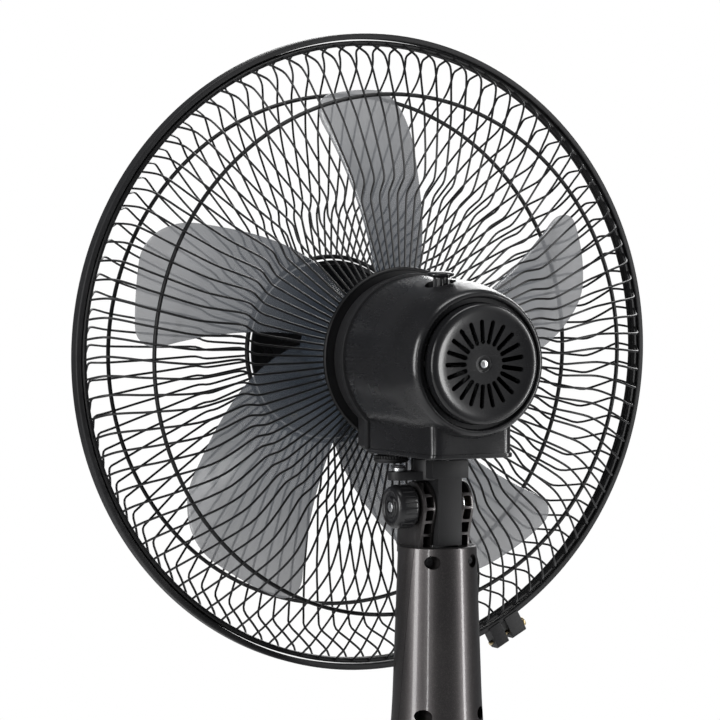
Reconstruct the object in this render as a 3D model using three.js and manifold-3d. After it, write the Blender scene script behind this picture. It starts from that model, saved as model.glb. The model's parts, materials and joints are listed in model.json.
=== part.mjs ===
// Pedestal fan: weighted round base, telescopic pole, control column, tilt and swing neck,
// motor head, five blades and two wire guards. Millimetres, +Z up, air leaves towards -Y.
import * as THREE from 'three';
import { mergeVertices } from 'three/addons/utils/BufferGeometryUtils.js';
import Module from 'manifold-3d';

const wasm = await Module();
wasm.setup();

// ---------------------------------------------------------------- driving dimensions
const GAP = 0.3;                  // left between pieces that touch
const WELD = 1e-4;                // vertices closer than this are one
const TRIM = 0.004;               // slivers thinner than this are smoothed away

const BASE_RADIUS = 200;
const BASE_HEIGHT = 34;
const POLE_RADIUS = 14;           // outer pole
const POLE_TOP = 455;
const TUBE_RADIUS = 9.5;          // inner tube, slides in the outer pole
const TUBE_BOTTOM = 170;
const TUBE_TOP = 640;
const LOCK_NUT = { bottom: 436, top: 484, radius: 24 };

const AXIS_Z = 890;               // height of the blade axis, pole at its lowest
const RIM_Y = -108;               // plane where the two guards meet
const COLUMN = { bottom: 500, shoulder: AXIS_Z - 130, wall: 2.5 };
const SEAM = { top: 12.3, bottom: -8.3 };   // Y of the column's seam at shoulder and bottom
const SCREW_ROWS = [
  { row: 'upper', x: 15.7, z: AXIS_Z - 140 },
  { row: 'lower', x: 22.5, z: AXIS_Z - 247 },
];
const PANEL = { half: 22, bottom: 508, top: 624, back: -36, front: -46 };
const KEYS = { first: 16, pitch: 16.5 };    // speed keys, from the bottom of the panel
const TILT_Z = AXIS_Z - 102;
const POST = { half: 9.3, front: -15, rear: 19, bottom: AXIS_Z - 129, top: AXIS_Z - 78 };
const BOLT_HEAD = { radius: 6.6, recess: 8, depth: 5.4 };   // sunk in the ear at -X
const EAR = { inner: 9.8, outer: 19.6, front: -24, rear: 11, radius: 17.4 };

const BARREL_RADIUS = 58;         // motor housing
const SHELL_FRONT = 79;           // distances behind the rim plane along the blade axis
const SHELL_REAR = 174;
const CAP_REAR = 178;
const BLOCK = { front: 39, rear: 31, end: 161, bottom: 66, corner: 6, wall: 2.5 };
const CLUTCH = { x: 12, d: 135 }; // upright clutch shaft, under the pull knob
const IDLER = { x: 12, d: 108, radius: 15.1 };
const CRANK = { x: 26, d: 88, disc: 12.5, gear: 9 };
const PINION_RADIUS = 11.6;
const KNOB_POCKET = { radius: 11, floor: 42.5 };
const LINK_PIN = { x: 29, y: -2 };
const CAP_SLOTS = 21;

const RIM_RADIUS = 230;           // outside of the guard band
const RING_RADIUS = 223;          // rim wires of both guards
const WIRES = 20;                 // every fifth wire of each guard
const WIRE = 1.1;                 // wire radius
const MID_RING = 186;
const BLADES = 5;
const BLADE_TIP = 190;
const HUB = { radius: 44, front: -24, rear: 20 };

// ---------------------------------------------------------------- solids
/** A closed manifold from any closed three.js geometry, faces turned outwards. */
function solid(geometry) {
  const bare = geometry.index ? geometry.toNonIndexed() : geometry.clone();
  for (const name of Object.keys(bare.attributes)) {
    if (name !== 'position') bare.deleteAttribute(name);
  }
  const welded = mergeVertices(bare, WELD);
  const index = welded.index.array;
  const make = (flip) => {
    const faces = [];
    for (let i = 0; i < index.length; i += 3) {
      const [a, b, c] = [index[i], index[i + 1], index[i + 2]];
      if (a !== b && b !== c && c !== a) faces.push(...(flip ? [a, c, b] : [a, b, c]));
    }
    return new wasm.Manifold(new wasm.Mesh({
      numProp: 3,
      vertProperties: new Float32Array(welded.attributes.position.array),
      triVerts: new Uint32Array(faces),
    }));
  };
  const made = make(false);
  return made.volume() < 0 ? make(true) : made;
}

const join = (...parts) => parts.flat().reduce((sum, part) => sum.add(part));
const cut = (body, ...tools) => tools.flat().reduce((left, tool) => left.subtract(tool), body);

function geometryOf(manifold) {
  const mesh = manifold.getMesh();
  const points = new Float32Array(mesh.numVert * 3);
  for (let i = 0; i < mesh.numVert; i += 1) {
    for (let k = 0; k < 3; k += 1) points[i * 3 + k] = mesh.vertProperties[i * mesh.numProp + k];
  }
  const geometry = new THREE.BufferGeometry();
  geometry.setAttribute('position', new THREE.BufferAttribute(points, 3));
  geometry.setIndex(new THREE.BufferAttribute(new Uint32Array(mesh.triVerts), 1));
  geometry.computeVertexNormals();
  return geometry;
}

/** The biggest separate body, without the slivers that a cut can leave. */
function largest(manifold) {
  return manifold.decompose().reduce((a, b) => (b.volume() > a.volume() ? b : a));
}

/** Box between two corners. */
function box([x0, y0, z0], [x1, y1, z1]) {
  const geometry = new THREE.BoxGeometry(x1 - x0, y1 - y0, z1 - z0);
  return solid(geometry.translate((x0 + x1) / 2, (y0 + y1) / 2, (z0 + z1) / 2));
}

const TURNS = {
  x: (geometry) => geometry.rotateZ(-Math.PI / 2),
  y: (geometry) => geometry,
  z: (geometry) => geometry.rotateX(Math.PI / 2),
};

/** Solid of revolution about an axis through `at`; the profile is a list of [radius, distance]. */
function turned(axis, profile, segments = 16, at = [0, 0, 0]) {
  const closed = profile[0][0] > 0 ? [...profile, profile[0]] : profile;
  const points = closed.map(([r, h]) => new THREE.Vector2(r, h));
  return solid(TURNS[axis](new THREE.LatheGeometry(points, segments)).translate(...at));
}

/** Cylinder about an axis, from one distance to another. */
function rod(axis, radius, from, to, at = [0, 0, 0], segments = 10) {
  return turned(axis, [[0, from], [radius, from], [radius, to], [0, to]], segments, at);
}

/** Tube about an axis. */
function pipe(axis, inner, outer, from, to, at = [0, 0, 0], segments = 16) {
  return turned(axis, [[inner, from], [outer, from], [outer, to], [inner, to]], segments, at);
}

/** Outline in the XY plane pushed up from z0 to z1. */
function plate(shape, z0, z1, curveSegments = 6) {
  const options = { depth: z1 - z0, bevelEnabled: false, curveSegments };
  return solid(new THREE.ExtrudeGeometry(shape, options).translate(0, 0, z0));
}

/** Thin rod with a few sides along a list of points. */
function wire(points, radius, sides = 3) {
  const steps = points.length - 1;
  const geometry = new THREE.CylinderGeometry(radius, radius, 1, sides, steps);
  const place = geometry.attributes.position;
  const along = points.map((point, i) => {
    const before = points[Math.max(i - 1, 0)];
    const after = points[Math.min(i + 1, steps)];
    return after.clone().sub(before).normalize();
  });
  const out = new THREE.Vector3(0, 1, 0);
  for (let i = 0; i < place.count; i += 1) {
    const step = Math.round((0.5 - place.getY(i)) * steps);
    const side = new THREE.Vector3().crossVectors(out, along[step]);
    if (side.lengthSq() < WELD) side.crossVectors(points[step], along[step]);
    side.normalize();
    const lift = new THREE.Vector3().crossVectors(along[step], side);
    const at = points[step].clone()
      .addScaledVector(side, place.getX(i)).addScaledVector(lift, place.getZ(i));
    place.setXYZ(i, at.x, at.y, at.z);
  }
  return solid(geometry);
}

/** Ring of round wire about the Y axis. */
function hoop(radius, thickness, d, segments = 2 * WIRES, sides = 3) {
  const geometry = new THREE.TorusGeometry(radius, thickness, sides, segments);
  return solid(geometry.rotateX(Math.PI / 2).translate(0, d, 0));
}

// ---------------------------------------------------------------- finishes and the assembly
const FINISHES = {
  gloss_black: { color: 0x1c1c1e, roughness: 0.3, metalness: 0 },
  matte_black: { color: 0x252527, roughness: 0.6, metalness: 0 },
  gunmetal: { color: 0x4a4a4d, roughness: 0.35, metalness: 0.6 },
  wire_black: { color: 0x121213, roughness: 0.4, metalness: 0.2 },
  smoke: { color: 0x7b7d80, roughness: 0.25, metalness: 0 },
  steel: { color: 0xc9cacb, roughness: 0.3, metalness: 1 },
  zinc: { color: 0xb9ab86, roughness: 0.4, metalness: 1 },
  chrome: { color: 0xdedfe0, roughness: 0.1, metalness: 1 },
  iron: { color: 0x5d5e60, roughness: 0.7, metalness: 0.7 },
  aluminium: { color: 0xa9abad, roughness: 0.5, metalness: 0.9 },
  copper: { color: 0x9a5a32, roughness: 0.4, metalness: 0.8 },
  bronze: { color: 0x8f7440, roughness: 0.5, metalness: 0.9 },
  nylon: { color: 0xd9d6cc, roughness: 0.5, metalness: 0 },
  rubber: { color: 0x1a1a1a, roughness: 0.9, metalness: 0 },
};

const fan = new THREE.Group();
fan.name = 'pedestal_fan';
const head = new THREE.Group();   // pieces drawn about the blade axis, from the rim plane
head.position.set(0, RIM_Y, AXIS_Z);
fan.add(head);

function put(group, name, manifold, finish) {
  const material = new THREE.MeshStandardMaterial(FINISHES[finish]);
  const mesh = new THREE.Mesh(geometryOf(manifold.simplify(TRIM)), material);
  mesh.name = name;
  group.add(mesh);
}

// ---------------------------------------------------------------- base and pole
function addBase() {
  const wall = 3;
  const dome = [[0, BASE_HEIGHT], [36, BASE_HEIGHT], [120, 27], [186, 14], [BASE_RADIUS, 4],
    [BASE_RADIUS, 2]];
  const under = dome.map(([r, z]) => [Math.max(r - wall, 0), z - wall]).slice(0, -2);
  const skin = [...dome, [BASE_RADIUS - wall, 2], ...under.reverse()];
  const cover = cut(turned('z', skin, 32), rod('z', POLE_RADIUS + GAP, 0, 50, [0, 0, 0], 24));
  put(fan, 'base_cover', cover, 'gloss_black');

  const weight = turned('z', [[5, 3], [140, 3], [140, 7], [100, 9], [POLE_RADIUS + 8, 24],
    [POLE_RADIUS + GAP, 24], [POLE_RADIUS + GAP, 18], [5, 18]], 24);
  put(fan, 'base_weight', weight, 'iron');
  put(fan, 'base_pad_ring', pipe('z', 176, 190, 0, 3 - GAP, [0, 0, 0], 32), 'rubber');
  const bolt = join(rod('z', 4, 2, 30), rod('z', 9, 0.6, 3 - GAP, [0, 0, 0], 6));
  put(fan, 'pole_bolt', bolt, 'zinc');

  const pole = cut(rod('z', POLE_RADIUS, 18 + GAP, POLE_TOP, [0, 0, 0], 24),
    rod('z', POLE_RADIUS - 1.5, 32, POLE_TOP + 1, [0, 0, 0], 24), rod('z', 4 + GAP, 0, 33));
  put(fan, 'outer_pole', pole, 'gloss_black');
  const collar = turned('z', [[POLE_RADIUS + GAP, BASE_HEIGHT + GAP], [30, BASE_HEIGHT + GAP],
    [29, 40], [19, 54], [POLE_RADIUS + GAP, 67]], 28);
  put(fan, 'pole_collar', collar, 'gloss_black');
}

function addHeightLock() {
  const inside = POLE_RADIUS - 1.5 - GAP;
  const collet = turned('z', [[TUBE_RADIUS + GAP, POLE_TOP - 25], [inside, POLE_TOP - 25],
    [inside, POLE_TOP + GAP], [POLE_RADIUS, POLE_TOP + GAP], [12.4, POLE_TOP + 18],
    [TUBE_RADIUS + GAP, POLE_TOP + 18]], 20);
  put(fan, 'height_collet', collet, 'nylon');
  const { bottom, top, radius } = LOCK_NUT;
  const bore = POLE_RADIUS + GAP;
  const nut = turned('z', [[bore, bottom], [radius - 4, bottom], [radius, bottom + 6],
    [radius, top - 14], [radius - 5, top - 4], [radius - 7, top], [TUBE_RADIUS + 1, top],
    [TUBE_RADIUS + 1, top - 8], [bore, top - 10]], 20);
  const grips = [];
  for (let i = 0; i < 6; i += 1) {
    const turn = (i / 6) * 2 * Math.PI;
    const at = [Math.cos(turn) * (radius + 1), Math.sin(turn) * (radius + 1), 0];
    grips.push(rod('z', 2.2, bottom + 8, top - 15, at, 5));
  }
  put(fan, 'height_lock_nut', cut(nut, grips), 'matte_black');
}

// ---------------------------------------------------------------- column with the controls
/** Column body without its seam; `inset` draws the cavity. */
function columnBody(inset) {
  const { bottom, shoulder } = COLUMN;
  const outline = [[31, bottom], [37, bottom + 8], [37, bottom + 90], [33, AXIS_Z - 253],
    [27.5, shoulder]];
  const points = outline.map(([r, z]) => [r - inset, z]);
  const column = turned('z', [[0, bottom], ...points, [0, shoulder]], 20);
  const { half, back, bottom: low, top: high } = PANEL;
  const shroud = new THREE.Shape();
  shroud.moveTo(-half - 4 + inset, 0);
  shroud.lineTo(-half - 4 + inset, back + 6);
  shroud.quadraticCurveTo(-half - 4 + inset, back - 6 + inset, -half + 6, back - 6 + inset);
  shroud.lineTo(half - 6, back - 6 + inset);
  shroud.quadraticCurveTo(half + 4 - inset, back - 6 + inset, half + 4 - inset, back + 6);
  shroud.lineTo(half + 4 - inset, 0);
  return join(column, plate(shroud, low - 6 + inset, high + 6 - inset, 3));
}

/** Everything in front of the column's slanting seam. */
function seamFront(offset) {
  const { bottom, shoulder } = COLUMN;
  const shape = new THREE.Shape();
  const slope = (SEAM.top - SEAM.bottom) / (shoulder - bottom);
  const seam = (z) => SEAM.bottom + slope * (z - bottom) + offset;
  shape.moveTo(-90, bottom - 20);
  shape.lineTo(seam(bottom - 20), bottom - 20);
  shape.lineTo(seam(shoulder + 1), shoulder + 1);
  shape.lineTo(-90, shoulder + 1);
  const geometry = new THREE.ExtrudeGeometry(shape, { depth: 160, bevelEnabled: false });
  // the outline's x is the part's Y and its y is the part's Z
  geometry.applyMatrix4(new THREE.Matrix4().set(0, 0, 1, -80, 1, 0, 0, 0, 0, 1, 0, 0, 0, 0, 0, 1));
  return solid(geometry);
}

function ear(side) {
  const { inner, outer, front, rear, radius } = EAR;
  const shape = new THREE.Shape();
  shape.moveTo(rear, COLUMN.shoulder - 6);
  shape.lineTo(rear + 1, TILT_Z - 20);
  shape.absarc(0, TILT_Z, radius, -0.35, 1.06 * Math.PI, false);
  shape.lineTo(front + 1, TILT_Z - 16);
  shape.lineTo(front, COLUMN.shoulder - 6);
  const thick = outer - inner;
  const geometry = new THREE.ExtrudeGeometry(shape,
    { depth: thick, bevelEnabled: false, curveSegments: 8 });
  const from = side > 0 ? inner : -outer;
  geometry.applyMatrix4(new THREE.Matrix4().set(0, 0, 1, from, 1, 0, 0, 0, 0, 1, 0, 0, 0, 0, 0, 1));
  // pockets moulded into the rear edge leave square ribs
  const pockets = [];
  for (let i = 0; i < 4; i += 1) {
    const z = TILT_Z - 29 + i * 10.2;
    const [x0, x1] = [inner + 2.2, outer - 2.2].map((x) => x * side).sort((a, b) => a - b);
    pockets.push(box([x0, rear - 5.5, z], [x1, rear + 8, z + 8]));
  }
  return cut(solid(geometry), pockets);
}

function addColumn() {
  const { bottom, shoulder, wall } = COLUMN;
  const cavity = columnBody(wall).intersect(box([-60, -60, bottom + wall], [60, 60, shoulder - wall]));
  const bosses = [];
  const heads = [];
  for (const { x, z } of SCREW_ROWS) {
    for (const side of [-1, 1]) {
      bosses.push(rod('y', 6.3, -22, 26, [x * side, 0, z], 10));
      const seam = SEAM.bottom + (SEAM.top - SEAM.bottom) * ((z - bottom) / (shoulder - bottom));
      heads.push(rod('y', 4.7, seam + 3.5, 50, [x * side, 0, z], 12));
      heads.push(rod('y', 1.8, seam - 14, seam + 5, [x * side, 0, z], 6));
    }
  }
  const ribbed = cut(columnBody(0), cut(cavity, bosses), heads);
  const tubeHole = rod('z', TUBE_RADIUS + GAP, bottom - 10, bottom + 40, [0, 0, 0], 16);
  const panelHole = box([-PANEL.half + 1, PANEL.front - 4, PANEL.bottom + 4],
    [PANEL.half - 1, PANEL.back + 8, PANEL.top - 4]);
  const gapHalf = EAR.inner + 0.25;
  const slot = box([-gapHalf, -60, POST.bottom - 8], [gapHalf, POST.rear + 2, AXIS_Z]);
  const boltHole = join(rod('x', 4 + GAP, -40, 40, [0, 0, TILT_Z]),
    rod('x', BOLT_HEAD.recess, -40, -EAR.outer + BOLT_HEAD.depth, [0, 0, TILT_Z], 20));

  const body = cut(ribbed, tubeHole, panelHole, slot);
  const front = join(body.intersect(seamFront(-GAP / 2)), ear(-1), ear(1));
  put(fan, 'column_front_shell', largest(cut(front, boltHole, heads)), 'gunmetal');
  const gland = rod('y', 6 + GAP, 0, 60, [0, 0, bottom + 22]);
  const window = box([EAR.inner - 4, 17, shoulder - wall - 0.5], [24, 60, shoulder + 1]);
  put(fan, 'column_rear_shell', largest(cut(body, seamFront(GAP / 2), gland, window)), 'gunmetal');

  for (const { row, x, z } of SCREW_ROWS) {
    for (const side of [-1, 1]) {
      const seam = SEAM.bottom + (SEAM.top - SEAM.bottom) * ((z - bottom) / (shoulder - bottom));
      const at = [x * side, seam, z];
      const screw = join(rod('y', 3.6, 3.5 + GAP, 6, at, 10), rod('y', 1.3, -12, 5, at, 6));
      put(fan, `column_screw_${row}_${side > 0 ? 'left' : 'right'}`, screw, 'zinc');
    }
  }
}

function addTubeAndSocket() {
  const tube = pipe('z', TUBE_RADIUS - 1.2, TUBE_RADIUS, TUBE_BOTTOM, TUBE_TOP);
  put(fan, 'inner_tube', tube, 'chrome');
  const low = COLUMN.bottom + COLUMN.wall + GAP;
  const bore = TUBE_RADIUS + GAP;
  const socket = turned('z', [[bore, low], [30, low], [30, low + 5], [17, low + 5], [17, low + 16],
    [bore, low + 16]]);
  put(fan, 'tube_socket', socket, 'matte_black');
}

function addControls() {
  const { half, bottom, top, back, front } = PANEL;
  const face = front + 2.6;
  const keys = [0, 1, 2, 3].map((i) => (
    { z: bottom + KEYS.first + i * KEYS.pitch, name: `speed_key_${i}` }));
  const timerZ = top - 20;
  const panel = cut(
    join(box([-half, front, bottom], [half, face, top]),
      box([-half + 1.5, face, bottom + 4.5], [half - 1.5, back + 2, top - 4.5])),
    box([-half + 4, face, bottom + 7], [half - 4, back + 3, top - 7]),
    keys.map(({ z }) => box([-13, front - 1, z - 7], [13, back + 9, z + 7])),
    rod('y', 4 + GAP, front - 1, back + 9, [0, 0, timerZ]));
  put(fan, 'control_panel', panel, 'gloss_black');
  for (const { name, z } of keys) {
    const key = join(box([-12.6, front - 5, z - 6.6], [12.6, front + 4, z + 6.6]),
      box([-3, front + 4, z - 3], [3, back + 5, z + 3]));
    put(fan, name, key, 'matte_black');
  }
  const keyBlock = cut(box([-16, back + 3.4, bottom + 9], [16, back + 18.4, keys[3].z + 9]),
    keys.map(({ z }) => box([-3.6, back, z - 3.6], [3.6, back + 12, z + 3.6])));
  put(fan, 'switch_block', keyBlock, 'nylon');
  const timer = rod('y', 15, back + 3.4, back + 16, [0, 0, timerZ], 24);
  put(fan, 'timer_unit', cut(timer, rod('y', 4 + GAP, back, back + 10, [0, 0, timerZ])), 'nylon');
  const knob = join(
    turned('y', [[0, front - 12], [13, front - 12], [15, front - 10], [16, front - 0.8],
      [0, front - 0.8]], 32, [0, 0, timerZ]),
    rod('y', 4, front - 1, back + 9, [0, 0, timerZ]));
  put(fan, 'timer_knob', knob, 'matte_black');
  const z = COLUMN.bottom + 22;
  const gland = turned('y', [[3.4, 29], [8, 29], [8, 33], [6, 33], [6, 37 + GAP], [8, 37 + GAP],
    [7, 44], [3.4, 44]], 16, [0, 0, z]);
  put(fan, 'cord_gland', gland, 'rubber');
}

// ---------------------------------------------------------------- tilt and swing neck
function addNeck() {
  const at = [0, 0, TILT_Z];
  const floor = -EAR.outer + BOLT_HEAD.depth;
  const bolt = join(rod('x', 4, floor - 5, EAR.outer + 18, at, 16),
    rod('x', BOLT_HEAD.radius, floor - 5, floor - 1 - 2 * GAP, at, 6));
  put(fan, 'tilt_bolt', bolt, 'steel');
  put(fan, 'tilt_washer', pipe('x', 4 + GAP, 7.6, floor - 1 - GAP, floor - GAP, at), 'zinc');
  const grip = EAR.outer + GAP;
  const flutes = [];
  for (let i = 0; i < 8; i += 1) {
    const turn = (i / 8) * 2 * Math.PI;
    flutes.push(rod('x', 1.3, grip + 4, grip + 13.5,
      [0, Math.cos(turn) * 15.8, TILT_Z + Math.sin(turn) * 15.8], 4));
  }
  const knob = turned('x', [[4 + GAP, grip], [13.5, grip], [15.5, grip + 3], [15.5, grip + 14],
    [14, grip + 17], [10, grip + 18], [4 + GAP, grip + 18]], 20, at);
  put(fan, 'tilt_knob', cut(knob, flutes), 'gloss_black');

  const { half, front, rear, bottom, top } = POST;
  const hub = 17;
  const arm = new THREE.Shape();
  arm.moveTo(-hub + 4, front + 2);
  arm.lineTo(LINK_PIN.x - 2, LINK_PIN.y - 8);
  arm.absarc(LINK_PIN.x, LINK_PIN.y, 8, -Math.PI / 2, Math.PI / 2, false);
  arm.lineTo(half, LINK_PIN.y + 10);
  arm.lineTo(-half, LINK_PIN.y + 10);
  const armTop = AXIS_Z - 77.6;
  const armLow = armTop - 5.8;
  const bracket = cut(
    join(box([-half, front, bottom + 8], [half, rear, top]),
      box([-half, front + 4, bottom], [half, rear, bottom + 8]),
      box([-14, front + 2, top - 4], [14, rear + 1, AXIS_Z - 69.5]),
      rod('z', hub, armLow, AXIS_Z - 69.5, [0, 0, 0], 24),
      plate(arm, armLow, armTop)),
    rod('z', 6 + GAP, AXIS_Z - 94, AXIS_Z, [0, 0, 0], 16),
    rod('x', 4 + GAP, -40, 40, at),
    rod('z', 2.5 + GAP, armLow - 1, armTop + 1, [LINK_PIN.x, LINK_PIN.y, 0]));
  put(fan, 'tilt_bracket', bracket, 'matte_black');
  const pin = join(rod('z', 2.5, armLow, armTop + 3.4, [LINK_PIN.x, LINK_PIN.y, 0]),
    rod('z', 4.2, armTop + 2.9, armTop + 4.2, [LINK_PIN.x, LINK_PIN.y, 0]));
  put(fan, 'link_pin', pin, 'steel');

  const [cx, cy] = [CRANK.x - 7, CRANK.d + RIM_Y - 4];
  const link = new THREE.Shape();
  const lean = Math.atan2(cy - LINK_PIN.y, cx - LINK_PIN.x);
  link.absarc(LINK_PIN.x, LINK_PIN.y, 4.7, lean + Math.PI / 2, lean + 1.5 * Math.PI, false);
  link.absarc(cx, cy, 4.7, lean - Math.PI / 2, lean + Math.PI / 2, false);
  const bar = cut(plate(link, armTop + GAP, armTop + 2.6),
    rod('z', 2.5 + GAP, armTop, armTop + 4, [LINK_PIN.x, LINK_PIN.y, 0]),
    rod('z', 2.4, armTop, armTop + 4, [cx, cy, 0]));
  put(fan, 'crank_link', bar, 'steel');
}

// ---------------------------------------------------------------- swing gear in the head
/** Point in the head's own frame for a gear place { x, d }. */
const under = ({ x, d }) => [x, d, 0];

function addSwingGear() {
  const floor = -BLOCK.bottom;
  const crank = join(
    rod('z', CRANK.disc, floor - 6.5, floor - 1.5, under(CRANK), 28),
    rod('z', 3, floor - 2, -50, under(CRANK), 14),
    rod('z', CRANK.gear, -61, -53, under(CRANK), 20));
  put(head, 'crank_disc', crank, 'matte_black');
  const idler = cut(rod('z', IDLER.radius, -61, -53, under(IDLER), 28),
    rod('z', 2.5 + GAP, -70, -40, under(IDLER), 12));
  put(head, 'idler_gear', idler, 'nylon');
  put(head, 'idler_stud', rod('z', 2.5, -63 - GAP, -50, under(IDLER), 12), 'steel');
  const pinion = join(rod('z', PINION_RADIUS, -61, -53, under(CLUTCH), 24),
    rod('z', 3, -62.8, -33, under(CLUTCH), 14));
  put(head, 'clutch_pinion', pinion, 'nylon');

  const spindle = join(rod('z', 6, -94 + GAP, -BLOCK.bottom - GAP, [0, -RIM_Y, 0], 16),
    rod('z', 12, -BLOCK.bottom - 3.2, -BLOCK.bottom - GAP, [0, -RIM_Y, 0], 20),
    rod('z', 3.5, -BLOCK.bottom - 1, -62.8, [0, -RIM_Y, 0]));
  put(head, 'pan_spindle', spindle, 'steel');

  const [left, right] = [-9, 24];
  const gearbox = cut(
    join(box([left, 122 + GAP, -14], [right, 152, 14]),
      rod('z', 7, 12, 22, under(CLUTCH), 18)),
    box([left + 3, 125, -8], [right - 3, 149, 8]),
    rod('y', 4.4 + GAP, 120, 130), rod('z', 3 + GAP, -20, 30, under(CLUTCH), 14));
  put(head, 'gearbox_case', gearbox, 'aluminium');
  const wheel = cut(rod('z', 7.3, -3, 3, under(CLUTCH), 24), rod('z', 3 + GAP, -9, 9, under(CLUTCH), 14));
  put(head, 'worm_wheel', wheel, 'nylon');

  const grooves = [];
  for (let i = 0; i < 8; i += 1) {
    const turn = (i / 8) * 2 * Math.PI;
    grooves.push(rod('z', 0.8, 44, 58,
      [CLUTCH.x + Math.cos(turn) * 5.1, CLUTCH.d + Math.sin(turn) * 5.1, 0], 4));
  }
  const knob = turned('z', [[0, -24], [3, -24], [3, 38], [5, 38], [5, 59], [8.6, 59], [9.4, 60],
    [9.2, 61.2], [6, 62.4], [0, 62.8]], 20, under(CLUTCH));
  put(head, 'oscillation_knob', cut(knob, grooves), 'gloss_black');
}

// ---------------------------------------------------------------- motor
function addMotor() {
  const bore = 4 + GAP;
  const shaft = turned('y', [[0, -32], [4, -32], [4, 118], [3, 118], [3, 127], [4.3, 128],
    [4.3, 142], [3, 143], [3, 147], [0, 147]], 20);
  put(head, 'motor_shaft', shaft, 'steel');
  put(head, 'rotor_core', pipe('y', bore, 26.4, 82, 108), 'iron');
  put(head, 'stator_core', pipe('y', 27, 46, 84, 106), 'iron');
  const bundle = (from, to) => turned('y', [[29, from], [41, from], [43, (from + to) / 2], [41, to],
    [29, to], [27.6, (from + to) / 2]]);
  put(head, 'winding_front', bundle(73, 84 - GAP), 'copper');
  put(head, 'winding_rear', bundle(106 + GAP, 117), 'copper');
  const bushBore = 8 + GAP;
  const frontBracket = turned('y', [[bushBore, 64], [13, 64], [13, 67], [46, 67], [46, 84 - GAP],
    [43.6, 84 - GAP], [43.6, 70], [13, 70], [13, 76], [bushBore, 76]]);
  put(head, 'motor_front_bracket', frontBracket, 'aluminium');
  const rearBracket = turned('y', [[bushBore, 113], [13, 113], [13, 118.5], [43.6, 118.5],
    [43.6, 106 + GAP], [46, 106 + GAP], [46, 121], [bushBore, 121]]);
  put(head, 'motor_rear_bracket', rearBracket, 'aluminium');
  put(head, 'front_bush', pipe('y', bore, 8, 65, 75), 'bronze');
  put(head, 'rear_bush', pipe('y', bore, 8, 111, 117.8), 'bronze');
}

// ---------------------------------------------------------------- motor housing
/** Outline of the block under the barrel, seen from above. */
function blockOutline(inset, start) {
  const { front, rear, end, corner } = BLOCK;
  const shape = new THREE.Shape();
  const [wide, narrow, back] = [front - inset, rear - inset, end - inset];
  shape.moveTo(wide, start);
  shape.lineTo(narrow, back - corner);
  shape.quadraticCurveTo(narrow, back, narrow - corner, back);
  shape.lineTo(-narrow + corner, back);
  shape.quadraticCurveTo(-narrow, back, -narrow, back - corner);
  shape.lineTo(-wide, start);
  return shape;
}

/** Round-topped outline of the cover in front of the shell, seen from the front. */
function archway(radius, half, bottom, from, to) {
  const shape = new THREE.Shape();
  const meet = Math.acos(half / radius);
  shape.moveTo(half, -bottom);
  shape.absarc(0, 0, radius, -meet, Math.PI + meet, false);
  shape.lineTo(-half, -bottom);
  const geometry = new THREE.ExtrudeGeometry(shape,
    { depth: to - from, bevelEnabled: false, curveSegments: 16 });
  return solid(geometry.rotateX(Math.PI / 2).translate(0, to, 0));
}

function addHousing() {
  const barrel = [[BARREL_RADIUS, SHELL_FRONT], [57.4, 115], [55.8, 145], [52, 162],
    [50.5, 168], [48.3, 172], [44.5, SHELL_REAR]];
  const wall = 2.5;
  const inside = barrel.slice(0, 4).map(([r, d]) => [r - wall, d]);
  const { bottom, wall: thick } = BLOCK;
  const outer = join(turned('y', [[0, SHELL_FRONT], ...barrel, [0, SHELL_REAR]], 28),
    plate(blockOutline(0, SHELL_FRONT), -bottom, -20, 3));
  const pocket = rod('z', KNOB_POCKET.radius, KNOB_POCKET.floor, 80, under(CLUTCH), 18);
  const pocketWall = rod('z', KNOB_POCKET.radius + wall, KNOB_POCKET.floor - wall, 80,
    under(CLUTCH), 18);
  const start = SHELL_FRONT - 1;
  const inner = cut(join(
    turned('y', [[0, start], [inside[0][0], start], ...inside, [48, 167], [46.5, 169.5],
      [0, 169.5]], 28),
    plate(blockOutline(thick, start), -bottom + thick, 0, 3)), pocketWall);
  const shell = cut(outer, pocket, inner,
    rod('y', 42, 160, 180, [0, 0, 0], 28),
    rod('z', 5 + GAP, 30, 60, under(CLUTCH), 18),
    rod('z', 3.5 + GAP, -80, -50, [0, -RIM_Y, 0], 16),
    rod('z', 3 + GAP, -80, -50, under(CRANK), 14));
  put(head, 'housing_shell', shell, 'gloss_black');

  const lip = SHELL_FRONT - GAP;
  const face = 60;
  const cover = cut(
    join(archway(57.2, 38.2, BLOCK.bottom - 1, face, lip),
      archway(59.6, 40.2, BLOCK.bottom + 1, 75, lip),
      rod('y', 19, 44, face + 1, [0, 0, 0], 20)),
    archway(54.6, 35.6, BLOCK.bottom - 3.4, face + 2.8, lip + 1),
    rod('y', 13 + GAP, face + 1, 80, [0, 0, 0], 24), rod('y', 6, 40, 80));
  put(head, 'front_cover', cover, 'matte_black');

  const slot = (i) => {
    const shape = new THREE.Shape();
    shape.absarc(0, 15.2, 1.2, Math.PI, 2 * Math.PI, false);
    shape.absarc(0, 28.8, 1.2, 0, Math.PI, false);
    const geometry = new THREE.ExtrudeGeometry(shape,
      { depth: 10, bevelEnabled: false, curveSegments: 1 });
    geometry.rotateX(Math.PI / 2).translate(0, 180, 0).rotateY((i / CAP_SLOTS) * 2 * Math.PI);
    return solid(geometry);
  };
  const cap = turned('y', [[1.9, 173.6], [39.2, 173.6], [39.2, 170.6], [41.7, 170.6],
    [41.7, 174.8], [40.8, 177],
    [38, CAP_REAR], [5.4, CAP_REAR], [5.4, 175.8], [1.9, 175.8]], 24);
  const slots = Array.from({ length: CAP_SLOTS }, (_, i) => slot(i));
  put(head, 'rear_cap', cut(cap, slots), 'gloss_black');
  const screw = turned('y', [[0, 152 + GAP], [1.5, 152 + GAP], [1.5, 176.1], [2.9, 176.1],
    [2.6, 177], [0, 177.6]], 16);
  put(head, 'rear_cap_screw', screw, 'steel');
}

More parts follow.
